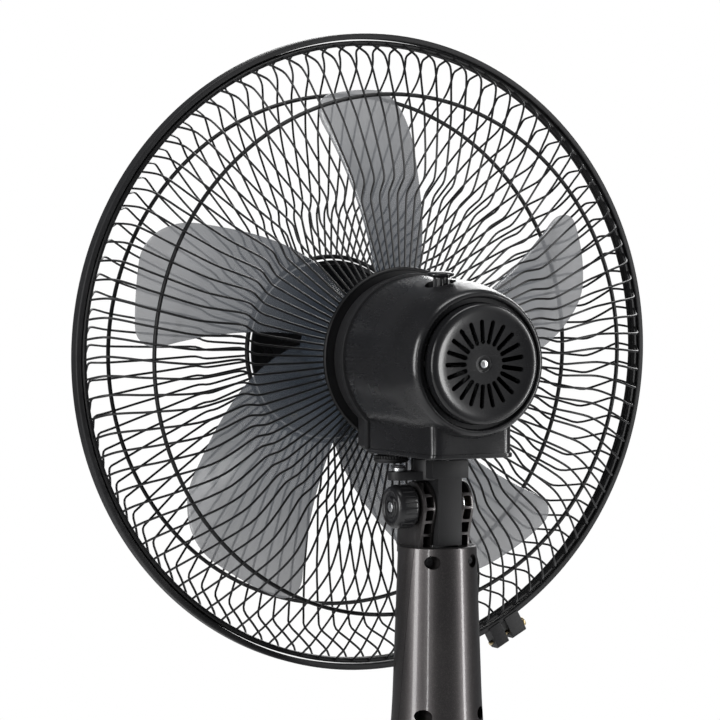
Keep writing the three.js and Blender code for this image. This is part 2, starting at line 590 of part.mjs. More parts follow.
// ---------------------------------------------------------------- guards
/** Point of a guard: radius, distance from the rim plane, turn in degrees from the top. */
function spot(radius, d, degrees) {
  const turn = THREE.MathUtils.degToRad(degrees);
  return new THREE.Vector3(radius * Math.sin(turn), d, radius * Math.cos(turn));
}

/** One guard: spiral wires on a rim ring, a middle ring and an inner ring. */
function guard({ rim, route, rings }) {
  const parts = rings.map(({ radius, d, thick }) => hoop(radius, thick, d));
  for (let i = 0; i < WIRES; i += 1) {
    const turn = (i / WIRES) * 360;
    const points = route.map(([radius, d, sweep]) => spot(radius, d, turn + sweep));
    parts.push(wire([spot(RING_RADIUS, rim, turn), ...points], WIRE));
  }
  return join(parts);
}

function addGuards() {
  const rear = guard({
    rim: 2.4,
    route: [[215, 21, -0.8], [MID_RING, 41, 0], [129, 57, -0.3], [115, 55, 1.6], [62, 57, 2.4]],
    rings: [{ radius: RING_RADIUS, d: 2.6, thick: 2 }, { radius: MID_RING, d: 42.6, thick: 1.5 },
      { radius: 62, d: 57, thick: 1.8 }],
  });
  const plateRing = pipe('y', 19 + GAP, 61.5, 56.4, 58.2, [0, 0, 0], WIRES);
  put(head, 'rear_guard', join(rear, plateRing), 'wire_black');
  const front = guard({
    rim: -2.4,
    route: [[217, -15, 0.3], [204, -33, -2.3], [MID_RING, -42, -2.1], [110, -57.5, -2.1],
      [68, -60, -0.8]],
    rings: [{ radius: RING_RADIUS, d: -2.6, thick: 2 }, { radius: MID_RING, d: -43.6, thick: 1.5 },
      { radius: 68, d: -60, thick: 1.8 }],
  });
  put(head, 'front_guard', front, 'wire_black');

  const inner = RING_RADIUS + 2.8;
  const band = turned('y', [[inner, -5], [RIM_RADIUS - 1, -5], [RIM_RADIUS, -3.5],
    [RIM_RADIUS, 3.5], [RIM_RADIUS - 1, 5], [inner, 5]], 40);
  const clip = THREE.MathUtils.degToRad(180 + 28.6);   // from the top, on the -X side
  const turnClip = (geometry) => geometry.rotateY(clip);
  const lug = (x0, x1) => solid(turnClip(new THREE.BoxGeometry(x1 - x0, 12, 21)
    .translate((x0 + x1) / 2, 0, RIM_RADIUS + 7.5)));
  const gapBox = solid(turnClip(new THREE.BoxGeometry(5, 14, 60).translate(0, 0, RIM_RADIUS)));
  const hole = solid(turnClip(new THREE.CylinderGeometry(1.9, 1.9, 60, 12).rotateZ(Math.PI / 2)
    .translate(0, 0, RIM_RADIUS + 9.5)));
  put(head, 'guard_band', cut(join(band, lug(-12.5, -2), lug(2, 14.5)), gapBox, hole), 'matte_black');
  const shank = new THREE.CylinderGeometry(1.5, 1.5, 32, 12).translate(0, 1, 0);
  const top = new THREE.CylinderGeometry(3.4, 3.4, 2.6, 14).translate(0, 16.6 + GAP, 0);
  const place = (geometry) => solid(turnClip(geometry.rotateZ(-Math.PI / 2)
    .translate(0, 0, RIM_RADIUS + 9.5)));
  put(head, 'band_screw', join(place(shank), place(top)), 'zinc');

  const nut = turned('y', [[19 + GAP, 48], [30, 48], [33, 50], [34, 56.4 - GAP],
    [19 + GAP, 56.4 - GAP]], 20);
  const ribs = [];
  for (let i = 0; i < 6; i += 1) {
    const geometry = new THREE.BoxGeometry(4, 6, 8).translate(0, 51, 35)
      .rotateY((i / 6) * 2 * Math.PI);
    ribs.push(solid(geometry));
  }
  put(head, 'guard_nut', join(nut, ribs), 'matte_black');
  const badge = turned('y', [[0, -66], [30, -65.4], [56, -63.2], [64, -61], [65.4, -58.6],
    [65.4, -56.4], [62.6, -56.4], [62.6, -58.4], [0, -62.4]], 28);
  put(head, 'front_badge', badge, 'gloss_black');
}

// ---------------------------------------------------------------- blades
/** Blade surface: across from the leading (0) to the trailing edge (1), out from root to tip. */
function bladePoint(across, out, lift) {
  const root = HUB.radius - 1.6;
  const radius = root + (BLADE_TIP - root) * out;
  const round = Math.sqrt(Math.max(1 - Math.max((out - 0.82) / 0.18, 0) ** 2.4, 0.02));
  const lead = 2 + 15 * out;
  const trail = -60 + 78 * out - 32 * out * out;
  const middle = (lead + trail) / 2;
  const degrees = middle + (lead - trail) * (0.5 - across) * round;
  const bow = Math.sin(Math.PI * across) * 5;
  const d = 21 - 44 * (0.5 + (across - 0.5) * round) + bow - 3 * out;
  return spot(radius, d + lift, degrees);
}

function blade(turn) {
  const geometry = new THREE.BoxGeometry(1, 1, 1, 4, 6, 1);
  const place = geometry.attributes.position;
  for (let i = 0; i < place.count; i += 1) {
    const at = bladePoint(place.getX(i) + 0.5, place.getY(i) + 0.5, place.getZ(i) * 2);
    place.setXYZ(i, at.x, at.y, at.z);
  }
  return solid(geometry.rotateY(turn));
}

function addImpeller() {
  const { radius, front, rear } = HUB;
  const hub = turned('y', [[4 + GAP, front], [radius - 4, front], [radius, front + 4],
    [radius, rear], [radius - 2.5, rear], [radius - 2.5, front + 5], [11, front + 4], [10, 12],
    [4 + GAP, 12]], 20);
  const vanes = Array.from({ length: BLADES }, (_, i) => blade((i / BLADES) * 2 * Math.PI));
  const inside = turned('y', [[11, front + 4], [radius - 2.5, front + 5], [radius - 2.5, rear + 4],
    [11, rear + 4]], 20);
  put(head, 'impeller', join(hub, cut(join(vanes), inside)), 'smoke');
  const nut = cut(turned('y', [[0, -44], [7, -43.4], [13, -40], [17, -30], [18, front - GAP],
    [0, front - GAP]], 28), rod('y', 4 + GAP, -34, -20));
  put(head, 'blade_nut', nut, 'matte_black');
}

addBase();
addHeightLock();
addTubeAndSocket();
addColumn();
addControls();
addNeck();
addSwingGear();
addMotor();
addHousing();
addGuards();
addImpeller();

export default fan;
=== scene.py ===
"""Pedestal fan: the looks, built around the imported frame. Metres, +Z up, air leaves towards -Y."""
import json
from contextlib import contextmanager
from math import acos, cos, pi, radians, sin, sqrt

import bmesh
import bpy
from mathutils import Matrix, Vector

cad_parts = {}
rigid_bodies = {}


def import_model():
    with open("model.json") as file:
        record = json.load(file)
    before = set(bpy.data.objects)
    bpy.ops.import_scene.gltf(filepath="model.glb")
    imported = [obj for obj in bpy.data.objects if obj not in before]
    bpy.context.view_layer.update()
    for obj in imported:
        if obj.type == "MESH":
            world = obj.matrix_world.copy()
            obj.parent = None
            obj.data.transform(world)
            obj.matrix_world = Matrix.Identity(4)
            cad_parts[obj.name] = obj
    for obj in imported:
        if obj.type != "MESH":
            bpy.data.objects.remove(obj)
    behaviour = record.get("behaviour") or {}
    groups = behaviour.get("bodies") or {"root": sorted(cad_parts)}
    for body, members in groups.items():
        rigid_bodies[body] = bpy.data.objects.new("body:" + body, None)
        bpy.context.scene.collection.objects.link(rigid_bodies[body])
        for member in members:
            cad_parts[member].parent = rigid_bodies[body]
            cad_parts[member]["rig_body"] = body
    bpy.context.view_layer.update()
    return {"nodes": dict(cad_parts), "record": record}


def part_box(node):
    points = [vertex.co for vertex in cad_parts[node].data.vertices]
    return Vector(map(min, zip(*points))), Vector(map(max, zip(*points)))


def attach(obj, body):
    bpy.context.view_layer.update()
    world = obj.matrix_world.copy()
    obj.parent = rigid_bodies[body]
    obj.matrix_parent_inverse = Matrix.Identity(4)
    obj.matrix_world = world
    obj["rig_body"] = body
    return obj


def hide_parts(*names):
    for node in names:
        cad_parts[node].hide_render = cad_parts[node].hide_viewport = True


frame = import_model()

# ------------------------------------------------------------------ places taken from the frame
MM = 0.001
SHAFT_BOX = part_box("motor_shaft")
BAND_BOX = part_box("guard_band")
AXIS_Z = (SHAFT_BOX[0].z + SHAFT_BOX[1].z) / 2          # height of the blade axis
RIM_Y = (BAND_BOX[0].y + BAND_BOX[1].y) / 2             # plane where the two guards meet
RIM_CENTRE = Vector((0, RIM_Y, AXIS_Z))
STAND = Matrix.Scale(MM, 4)                             # millimetres of the stand to metres
HEAD = Matrix.Translation(RIM_CENTRE) @ STAND           # millimetres about the blade axis
KNOB_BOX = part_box("tilt_knob")
TILT_Z = (KNOB_BOX[0].z + KNOB_BOX[1].z) / 2 / MM       # tilt bolt, in millimetres
CLUTCH_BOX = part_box("oscillation_knob")
CLUTCH = ((CLUTCH_BOX[0].x + CLUTCH_BOX[1].x) / 2 / MM,
          ((CLUTCH_BOX[0].y + CLUTCH_BOX[1].y) / 2 - RIM_Y) / MM)
CRANK_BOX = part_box("crank_disc")
CRANK = ((CRANK_BOX[0].x + CRANK_BOX[1].x) / 2 / MM,
         ((CRANK_BOX[0].y + CRANK_BOX[1].y) / 2 - RIM_Y) / MM)
PANEL_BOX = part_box("control_panel")
PANEL_BOTTOM, PANEL_TOP = PANEL_BOX[0].z / MM, PANEL_BOX[1].z / MM
AXIS_MM = AXIS_Z / MM

# ------------------------------------------------------------------ sizes in millimetres
GUARD_WIRES = 100
GUARD_WIRE = 0.85          # wire radius
RIM_RADIUS = 230
RING_RADIUS = 223
MID_RING = 186
BLADES = 5
HUB_RADIUS = 44
BLADE_TIP = 189.5
BLADE_THICK = 1.9
LEAD_CORNER = 20           # rounding of the blade's two outer corners
TRAIL_CORNER = 36
CAP_SLOTS = 21
COLUMN_BOTTOM = 500
COLUMN_TOP = AXIS_MM - 130
COLUMN_WALL = 2.5
POST_SLOT_REAR = 21        # back of the slot in which the neck tilts
HOUSING_FRONT = 79         # behind the plane where the guards meet
HOUSING_BOTTOM = -66       # below the blade axis
SCREW_HOLE, SCREW_BOSS = 4.7, 6.2
BOLT_HOLE, BOLT_POCKET = 4.3, 8
SEAM_BOTTOM, SEAM_TOP = -8.3, 12.3
SCREW_ROWS = ((15.7, AXIS_MM - 140), (22.5, AXIS_MM - 247))
EAR_INNER, EAR_OUTER = 9.8, 19.6
BOLT_FLOOR = -EAR_OUTER + 5.4      # floor of the pocket that holds the bolt's head
CLIP_TURN = 180 + 28.6     # guard clip, degrees from the top towards +X


# ------------------------------------------------------------------ node trees
class Number:
    """A number in a node tree. Python's operators on it add Math nodes."""

    def __init__(self, tree, socket):
        self.tree, self.socket = tree, socket

    def maths(self, operation, *values):
        node = self.tree.node("ShaderNodeMath", {"operation": operation}, dict(enumerate(values)))
        return Number(self.tree, node.outputs[0])

    def __add__(self, other):
        return self.maths("ADD", self, other)

    def __radd__(self, other):
        return self.maths("ADD", other, self)

    def __sub__(self, other):
        return self.maths("SUBTRACT", self, other)

    def __rsub__(self, other):
        return self.maths("SUBTRACT", other, self)

    def __mul__(self, other):
        return self.maths("MULTIPLY", self, other)

    def __rmul__(self, other):
        return self.maths("MULTIPLY", other, self)

    def __truediv__(self, other):
        return self.maths("DIVIDE", self, other)

    def __pow__(self, other):
        return self.maths("POWER", self, other)

    def limited(self):
        """Kept between 0 and 1."""
        return self.maths("MINIMUM", self.maths("MAXIMUM", self, 0.0), 1.0)


class Tree:
    """A node tree being drawn."""

    def __init__(self, nodes):
        self.nodes = nodes

    def plug(self, value, socket):
        if isinstance(value, Number):
            value = value.socket
        if isinstance(value, bpy.types.NodeSocket):
            self.nodes.links.new(value, socket)
        else:
            socket.default_value = value

    def node(self, kind, settings=None, sockets=None):
        """Adds a node: its settings come first, then its sockets' values or links."""
        made = self.nodes.nodes.new(kind)
        for key, value in (settings or {}).items():
            if key == "stops":
                ramp = made.color_ramp.elements
                while len(ramp) < len(value):
                    ramp.new(1.0)
                for stop, (place, colour) in zip(ramp, value):
                    stop.position, stop.color = place, colour
            else:
                setattr(made, key, value)
        for key, value in (sockets or {}).items():
            self.plug(value, made.inputs[key])
        return made

    def number(self, kind, settings=None, sockets=None, output=0):
        return Number(self, self.node(kind, settings, sockets).outputs[output])


def ring_of_copies(tree, shape, given):
    """Instances of a shape turned about an axis through a centre, made real, in one finish."""
    index = tree.number("GeometryNodeInputIndex")
    turn = index * (2 * pi) / Number(tree, given["Copies"])
    angles = tree.node("ShaderNodeVectorMath", {"operation": "SCALE"},
                       {0: given["Axis"], "Scale": turn}).outputs[0]
    spin = tree.node("FunctionNodeEulerToRotation", None, {0: angles}).outputs[0]
    points = tree.node("GeometryNodePoints", None,
                       {"Count": given["Copies"], "Position": given["Centre"]}).outputs[0]
    copies = tree.node("GeometryNodeInstanceOnPoints", None,
                       {"Points": points, "Instance": shape, "Rotation": spin}).outputs[0]
    real = tree.node("GeometryNodeRealizeInstances", None, {"Geometry": copies}).outputs[0]
    return tree.node("GeometryNodeSetMaterial", None,
                     {"Geometry": real, "Material": given["Finish"]}).outputs[0]


def new_geometry_tree(name, inputs):
    """Empty tree with named inputs, and the group input's sockets by name."""
    group = bpy.data.node_groups.new(name, "GeometryNodeTree")
    group.interface.new_socket("Geometry", in_out="OUTPUT", socket_type="NodeSocketGeometry")
    for label, kind in inputs.items():
        group.interface.new_socket(label, in_out="INPUT", socket_type=kind)
    tree = Tree(group)
    entry = tree.node("NodeGroupInput")
    return group, tree, {label: entry.outputs[label] for label in inputs}


RING_INPUTS = {"Geometry": "NodeSocketGeometry", "Copies": "NodeSocketInt",
               "Axis": "NodeSocketVector", "Centre": "NodeSocketVector",
               "Finish": "NodeSocketMaterial"}


def copies_tree():
    """Solid repeated round an axis."""
    group, tree, given = new_geometry_tree("copies_round_an_axis", RING_INPUTS)
    tree.node("NodeGroupOutput", None, {0: ring_of_copies(tree, given["Geometry"], given)})
    return group


def wires_tree():
    """Bent wire swept along a path, then repeated round an axis."""
    inputs = {**RING_INPUTS, "Wire Radius": "NodeSocketFloat", "Sides": "NodeSocketInt"}
    group, tree, given = new_geometry_tree("wires_round_an_axis", inputs)
    path = tree.node("GeometryNodeMeshToCurve", None, {"Mesh": given["Geometry"]}).outputs[0]
    section = tree.node("GeometryNodeCurvePrimitiveCircle", None,
                        {"Resolution": given["Sides"], "Radius": given["Wire Radius"]}).outputs[0]
    wire = tree.node("GeometryNodeCurveToMesh", None,
                     {"Curve": path, "Profile Curve": section, "Fill Caps": True}).outputs[0]
    tree.node("NodeGroupOutput", None, {0: ring_of_copies(tree, wire, given)})
    return group


def grown(obj, group, **values):
    """Runs a geometry tree on an object and keeps the result as its plain mesh."""
    modifier = obj.modifiers.new("grow", "NODES")
    modifier.node_group = group
    for item in group.interface.items_tree:
        label = item.name.replace(" ", "_").lower()
        if item.in_out == "INPUT" and label in values:
            modifier[item.identifier] = values[label]
    return settled(obj)


# ------------------------------------------------------------------ shapes: (points, faces) in mm
def rounded(corners, steps=5):
    """Outline through corners (a, b) or (a, b, rounding), with the rounded ones curved."""
    outline = []
    last = len(corners) - 1
    for i, corner in enumerate(corners):
        here = Vector(corner[:2])
        if len(corner) < 3 or i in (0, last):
            outline.append(tuple(here))
            continue
        before, after = Vector(corners[i - 1][:2]) - here, Vector(corners[i + 1][:2]) - here
        reach = min(corner[2], before.length * 0.49, after.length * 0.49)
        start, end = here + before.normalized() * reach, here + after.normalized() * reach
        for step in range(steps + 1):
            t = step / steps
            outline.append(tuple(start * (1 - t) ** 2 + here * 2 * t * (1 - t) + end * t * t))
    return outline


TURNED = {"x": lambda r, h, s, c: (h, r * s, r * c),
          "y": lambda r, h, s, c: (r * s, h, r * c),
          "z": lambda r, h, s, c: (r * s, r * c, h)}


def lathe(axis, profile, steps=96, at=(0, 0, 0)):
    """Profile of (radius, distance) spun about an axis; off the axis it closes on itself."""
    points, faces, rings = [], [], []
    for radius, along in profile:
        turns = 1 if radius < 1e-6 else steps
        rings.append(range(len(points), len(points) + turns))
        for i in range(turns):
            angle = 2 * pi * i / steps
            spot = TURNED[axis](radius, along, sin(angle), cos(angle))
            points.append(tuple(a + b for a, b in zip(spot, at)))
    pairs = list(zip(rings, rings[1:]))
    if profile[0][0] >= 1e-6:
        pairs.append((rings[-1], rings[0]))
    for low, high in pairs:
        for i in range(steps):
            j = (i + 1) % steps
            a, b = low[i % len(low)], low[j % len(low)]
            c, d = high[j % len(high)], high[i % len(high)]
            face = [k for n, k in enumerate((a, b, c, d)) if k not in (a, b, c, d)[:n]]
            if len(face) > 2:
                faces.append(face)
    return points, faces


LAID = {"x": lambda a, b, h: (h, a, b), "y": lambda a, b, h: (a, h, b),
        "z": lambda a, b, h: (a, b, h)}


def slab(axis, outline, low, high):
    """Outline pushed along an axis from one distance to another."""
    n = len(outline)
    points = [LAID[axis](a, b, h) for h in (low, high) for a, b in outline]
    sides = [[i, (i + 1) % n, n + (i + 1) % n, n + i] for i in range(n)]
    return points, [list(range(n))[::-1], list(range(n, 2 * n)), *sides]


def block(low, high):
    (x0, y0, z0), (x1, y1, z1) = low, high
    return slab("z", [(x0, y0), (x1, y0), (x1, y1), (x0, y1)], z0, z1)


def pill(length, width, steps=6):
    """Outline of a slot with round ends, centred, along its first axis."""
    half = length / 2 - width / 2
    ends = []
    for side in (1, -1):
        for step in range(steps + 1):
            angle = pi * step / steps - pi / 2 + (0 if side > 0 else pi)
            ends.append((side * half + cos(angle) * width / 2, sin(angle) * width / 2))
    return ends


def moved(shape, matrix):
    return [tuple(matrix @ Vector(point)) for point in shape[0]], shape[1]


def hoop(radius, thick, d, steps=200, sides=10):
    """Ring of round wire about the blade axis."""
    section = [(radius + thick * cos(2 * pi * i / sides), d + thick * sin(2 * pi * i / sides))
               for i in range(sides)]
    return lathe("y", section, steps)


# ------------------------------------------------------------------ objects
def bare(name, *shapes):
    """Object in millimetres from shapes, welded, with its faces turned outwards."""
    mesh = bpy.data.meshes.new(name)
    points, faces = [], []
    for shape_points, shape_faces in shapes:
        start = len(points)
        points += shape_points
        faces += [[i + start for i in face] for face in shape_faces]
    mesh.from_pydata(points, [], faces)
    draft = bmesh.new()
    draft.from_mesh(mesh)
    bmesh.ops.remove_doubles(draft, verts=draft.verts, dist=1e-4)
    bmesh.ops.recalc_face_normals(draft, faces=draft.faces)
    draft.to_mesh(mesh)
    draft.free()
    obj = bpy.data.objects.new(name, mesh)
    bpy.context.scene.collection.objects.link(obj)
    return obj


def path_object(name, points):
    mesh = bpy.data.meshes.new(name)
    mesh.from_pydata(points, [(i, i + 1) for i in range(len(points) - 1)], [])
    obj = bpy.data.objects.new(name, mesh)
    bpy.context.scene.collection.objects.link(obj)
    return obj


def settled(obj):
    """Keeps what the object's modifiers make as its plain mesh."""
    bpy.context.view_layer.update()
    made = bpy.data.meshes.new_from_object(obj.evaluated_get(bpy.context.evaluated_depsgraph_get()))
    obj.modifiers.clear()
    obj.data = made
    return obj


def combined(obj, tool, how):
    modifier = obj.modifiers.new("combine", "BOOLEAN")
    modifier.operation, modifier.solver, modifier.object = how, "EXACT", tool
    settled(obj)
    bpy.data.objects.remove(tool)
    return obj


def cut(obj, *shapes):
    return combined(obj, bare("tool", *shapes), "DIFFERENCE")


def joined(obj, *shapes):
    return combined(obj, bare("tool", *shapes), "UNION")


def kept(obj, *shapes):
    return combined(obj, bare("tool", *shapes), "INTERSECT")


def twin(obj, name):
    """Copy of an object with a mesh of its own."""
    copy = bpy.data.objects.new(name, obj.data.copy())
    bpy.context.scene.collection.objects.link(copy)
    return copy


def softened(obj, width, steps=3, angle=30):
    """Rounds the edges sharper than an angle."""
    modifier = obj.modifiers.new("soften", "BEVEL")
    modifier.width, modifier.segments = width, steps
    modifier.limit_method, modifier.angle_limit = "ANGLE", radians(angle)
    modifier.use_clamp_overlap, modifier.harden_normals = True, False
    return settled(obj)


def merged(obj, *others):
    """One mesh from several objects."""
    draft = bmesh.new()
    for each in (obj, *others):
        draft.from_mesh(each.data)
    draft.to_mesh(obj.data)
    draft.free()
    for each in others:
        bpy.data.objects.remove(each)
    return obj


@contextmanager
def draft_of(obj):
    """The piece's mesh, open for changes that are written back at the end."""
    draft = bmesh.new()
    draft.from_mesh(obj.data)
    yield draft
    draft.to_mesh(obj.data)
    draft.free()


def done(obj, finish, *nodes, place=HEAD, sharp=32):
    """Places a piece in the frame, gives it its finish, and lets it stand for its CAD nodes."""
    obj.data.transform(place)
    obj.data.materials.clear()
    with draft_of(obj) as draft:
        many_sided = [face for face in draft.faces if len(face.verts) > 4]
        bmesh.ops.triangulate(draft, faces=many_sided)
    obj.data.materials.append(FINISHES[finish])
    for face in obj.data.polygons:
        face.use_smooth, face.material_index = True, 0
    obj.data.set_sharp_from_angle(angle=radians(sharp))
    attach(obj, frame["nodes"][nodes[0]]["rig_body"])
    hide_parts(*nodes)
    return obj


def refined(node, finish, width=0.6, steps=3, sharp=32, windows=False):
    """CAD piece with its edges rounded. Flat faces with windows in them stay in triangles."""
    copy = twin(frame["nodes"][node], node + "_moulding")
    with draft_of(copy) as draft:
        bmesh.ops.remove_doubles(draft, verts=draft.verts, dist=1e-6)
        if not windows:
            bmesh.ops.dissolve_limit(draft, angle_limit=radians(1), verts=draft.verts,
                                     edges=draft.edges)
    softened(copy, width * MM, steps)
    return done(copy, finish, node, place=Matrix.Identity(4), sharp=sharp)


def round_copies(name, shape, copies, axis=(0, 1, 0), centre=(0, 0, 0)):
    """Object of a shape repeated round an axis."""
    return grown(bare(name, shape), COPIES, copies=copies, axis=axis, centre=centre)


# ------------------------------------------------------------------ finishes
def start_finish(name):
    """New material, its tree and its shader node."""
    material = bpy.data.materials.new(name)
    material.use_nodes = True
    tree = Tree(material.node_tree)
    return material, tree, material.node_tree.nodes["Principled BSDF"]


def places(tree, stretch=(1, 1, 1)):
    """Place on the piece in metres, stretched for a grain that runs one way."""
    where = tree.node("ShaderNodeTexCoord").outputs["Object"]
    return tree.node("ShaderNodeMapping", None, {"Vector": where, "Scale": stretch}).outputs[0]


def noise(tree, scale, detail=2.0, stretch=(1, 1, 1)):
    return tree.number("ShaderNodeTexNoise", None, {"Vector": places(tree, stretch),
                                                    "Scale": scale, "Detail": detail})


def tinted(tree, mask, low, high):
    """Colour between two, by a number from 0 to 1."""
    mix = tree.node("ShaderNodeMix", {"data_type": "RGBA"}, {"Factor": mask.limited()})
    for socket, colour in zip([s for s in mix.inputs if s.type == "RGBA"], (low, high)):
        socket.default_value = (*colour, 1)
    return [s for s in mix.outputs if s.type == "RGBA"][0]


def bumped(tree, shader, height, strength, distance):
    bump = tree.node("ShaderNodeBump", None,
                     {"Strength": strength, "Distance": distance, "Height": height})
    tree.plug(bump.outputs[0], shader.inputs["Normal"])


def moulded(name, low, high, gloss, spread, grain, depth, coat=0.0, shine=0.3):
    """Moulded or coated surface: slow colour drift, fine grain and a few soft scuffs."""
    material, tree, shader = start_finish(name)
    drift, fine = noise(tree, 22, 3.0), noise(tree, grain, 2.0)
    scuffs = (noise(tree, 60, 6.0, (1, 1, 7)) - 0.58) * 5
    tree.plug(tinted(tree, drift * 1.4 - 0.2 + scuffs.limited() * 0.15, low, high),
              shader.inputs["Base Color"])
    tree.plug((drift - 0.5) * spread + gloss + scuffs.limited() * 0.03, shader.inputs["Roughness"])
    shader.inputs["Specular IOR Level"].default_value = shine
    shader.inputs["Coat Weight"].default_value = coat
    shader.inputs["Coat Roughness"].default_value = 0.12
    bumped(tree, shader, fine, depth, 0.0002)
    return material


def sprayed_gunmetal():
    """Dark metallic paint with fine bright flakes under a clear coat."""
    material, tree, shader = start_finish("gunmetal")
    flakes = tree.node("ShaderNodeTexVoronoi", None, {"Vector": places(tree), "Scale": 1900.0})
    sparkle = Number(tree, tree.node("ShaderNodeSeparateColor", None,
                                     {0: flakes.outputs["Color"]}).outputs[0])
    drift = noise(tree, 14, 3.0)
    tree.plug(tinted(tree, sparkle ** 3 * 0.4 + drift * 0.5 - 0.05,
                     (0.036, 0.033, 0.034), (0.092, 0.086, 0.084)), shader.inputs["Base Color"])
    tree.plug((drift - 0.5) * 0.10 + 0.34 + sparkle * 0.03, shader.inputs["Roughness"])
    shader.inputs["Metallic"].default_value = 0.85
    shader.inputs["Coat Weight"].default_value = 0.35
    shader.inputs["Coat Roughness"].default_value = 0.1
    bumped(tree, shader, noise(tree, 500, 2.0), 0.05, 0.0002)
    return material


def smoky_blades():
    """Translucent grey plastic, darker and bluer towards the hub."""
    material, tree, shader = start_finish("smoke")
    split = tree.node("ShaderNodeSeparateXYZ", None, {0: places(tree)})
    across, up = (Number(tree, split.outputs[axis]) for axis in (0, 2))
    out = ((across ** 2 + (up - AXIS_Z) ** 2) ** 0.5 / (BLADE_TIP * MM)).limited()
    flow = noise(tree, 26, 3.0)
    tree.plug(tinted(tree, out * 1.5 - 0.45 + (flow - 0.5) * 0.2,
                     (0.050, 0.062, 0.080), (0.285, 0.290, 0.300)), shader.inputs["Base Color"])
    tree.plug((flow - 0.5) * 0.1 + 0.2, shader.inputs["Roughness"])
    tree.plug(0.78 - out * 0.14 + (flow - 0.5) * 0.06, shader.inputs["Alpha"])
    bumped(tree, shader, noise(tree, 240, 2.0), 0.05, 0.0003)
    return material


def turned_metal(name, colour, rough, metallic, grain=(1, 1, 40), depth=0.15):
    """Bare or plated metal with fine tool lines and slight tarnish."""
    material, tree, shader = start_finish(name)
    lines, tarnish = noise(tree, 160, 4.0, grain), noise(tree, 45, 4.0)
    tree.plug(tinted(tree, tarnish * 1.6 - 0.4, tuple(c * 0.72 for c in colour), colour),
              shader.inputs["Base Color"])
    tree.plug((lines - 0.5) * 0.25 + rough + (1 - tarnish) * 0.08, shader.inputs["Roughness"])
    shader.inputs["Metallic"].default_value = metallic
    bumped(tree, shader, lines, depth, 0.0001)
    return material


def wound_copper():
    """Enamelled wire in a bundle."""
    material, tree, shader = start_finish("copper")
    strands = tree.number("ShaderNodeTexWave", {"wave_type": "BANDS", "bands_direction": "DIAGONAL"},
                          {"Vector": places(tree), "Scale": 420.0, "Distortion": 3.0}, output=1)
    tree.plug(tinted(tree, strands, (0.12, 0.035, 0.012), (0.45, 0.16, 0.06)),
              shader.inputs["Base Color"])
    shader.inputs["Metallic"].default_value = 0.7
    tree.plug(strands * 0.15 + 0.3, shader.inputs["Roughness"])
    bumped(tree, shader, strands, 0.6, 0.0004)
    return material


FINISHES = {
    "gloss_black": moulded("gloss_black", (0.0045, 0.0045, 0.005), (0.011, 0.011, 0.012),
                           0.27, 0.10, 900, 0.10, coat=0.15),
    "matte_black": moulded("matte_black", (0.006, 0.006, 0.0065), (0.015, 0.015, 0.016),
                           0.46, 0.14, 1500, 0.35, shine=0.2),
    "painted_black": moulded("painted_black", (0.009, 0.009, 0.0095), (0.019, 0.019, 0.020),
                             0.24, 0.08, 450, 0.12, coat=0.3),
    "wire_black": moulded("wire_black", (0.004, 0.004, 0.0045), (0.011, 0.011, 0.0115),
                          0.36, 0.12, 1200, 0.15, shine=0.2),
    "rubber": moulded("rubber", (0.010, 0.010, 0.010), (0.024, 0.023, 0.022),
                      0.82, 0.12, 800, 0.4),
    "nylon": moulded("nylon", (0.56, 0.53, 0.46), (0.74, 0.71, 0.64), 0.45, 0.12, 600, 0.15),
    "gunmetal": sprayed_gunmetal(),
    "smoke": smoky_blades(),
    "steel": turned_metal("steel", (0.60, 0.61, 0.62), 0.26, 1.0),
    "zinc": turned_metal("zinc", (0.58, 0.47, 0.27), 0.30, 1.0),
    "chrome": turned_metal("chrome", (0.74, 0.75, 0.76), 0.09, 1.0, depth=0.03),
    "iron": turned_metal("iron", (0.06, 0.06, 0.063), 0.62, 0.8, (1, 1, 1), 0.5),
    "aluminium": turned_metal("aluminium", (0.42, 0.43, 0.44), 0.45, 0.9, (1, 1, 1), 0.4),
    "bronze": turned_metal("bronze", (0.36, 0.23, 0.09), 0.42, 0.9, (1, 1, 1), 0.3),
    "copper": wound_copper(),
}
COPIES = copies_tree()
WIRES = wires_tree()


# ------------------------------------------------------------------ guards
def curve_through(stops, steps=5):
    """Smooth path through (radius, distance, turn) stops, as points about the blade axis."""
    path = []
    for i in range(len(stops) - 1):
        a, b, c, d = (Vector(stops[min(max(k, 0), len(stops) - 1)])
                      for k in (i - 1, i, i + 1, i + 2))
        for step in range(steps):
            t = step / steps
            path.append(0.5 * (2 * b + (c - a) * t + (2 * a - 5 * b + 4 * c - d) * t * t
                               + (3 * b - a - 3 * c + d) * t ** 3))
    path.append(Vector(stops[-1]))
    return [(r * sin(radians(turn)), d, r * cos(radians(turn))) for r, d, turn in path]


def guard(name, stops, hoops):
    """Wires repeated round the axis, on their rings."""
    wires = grown(path_object(name, curve_through(stops, 3)), WIRES, copies=GUARD_WIRES,
                  axis=(0, 1, 0), centre=(0, 0, 0), wire_radius=GUARD_WIRE, sides=6,
                  finish=FINISHES["wire_black"])
    rings = bare(name + "_rings", *(hoop(radius, thick, d) for radius, thick, d in hoops))
    return merged(wires, rings)


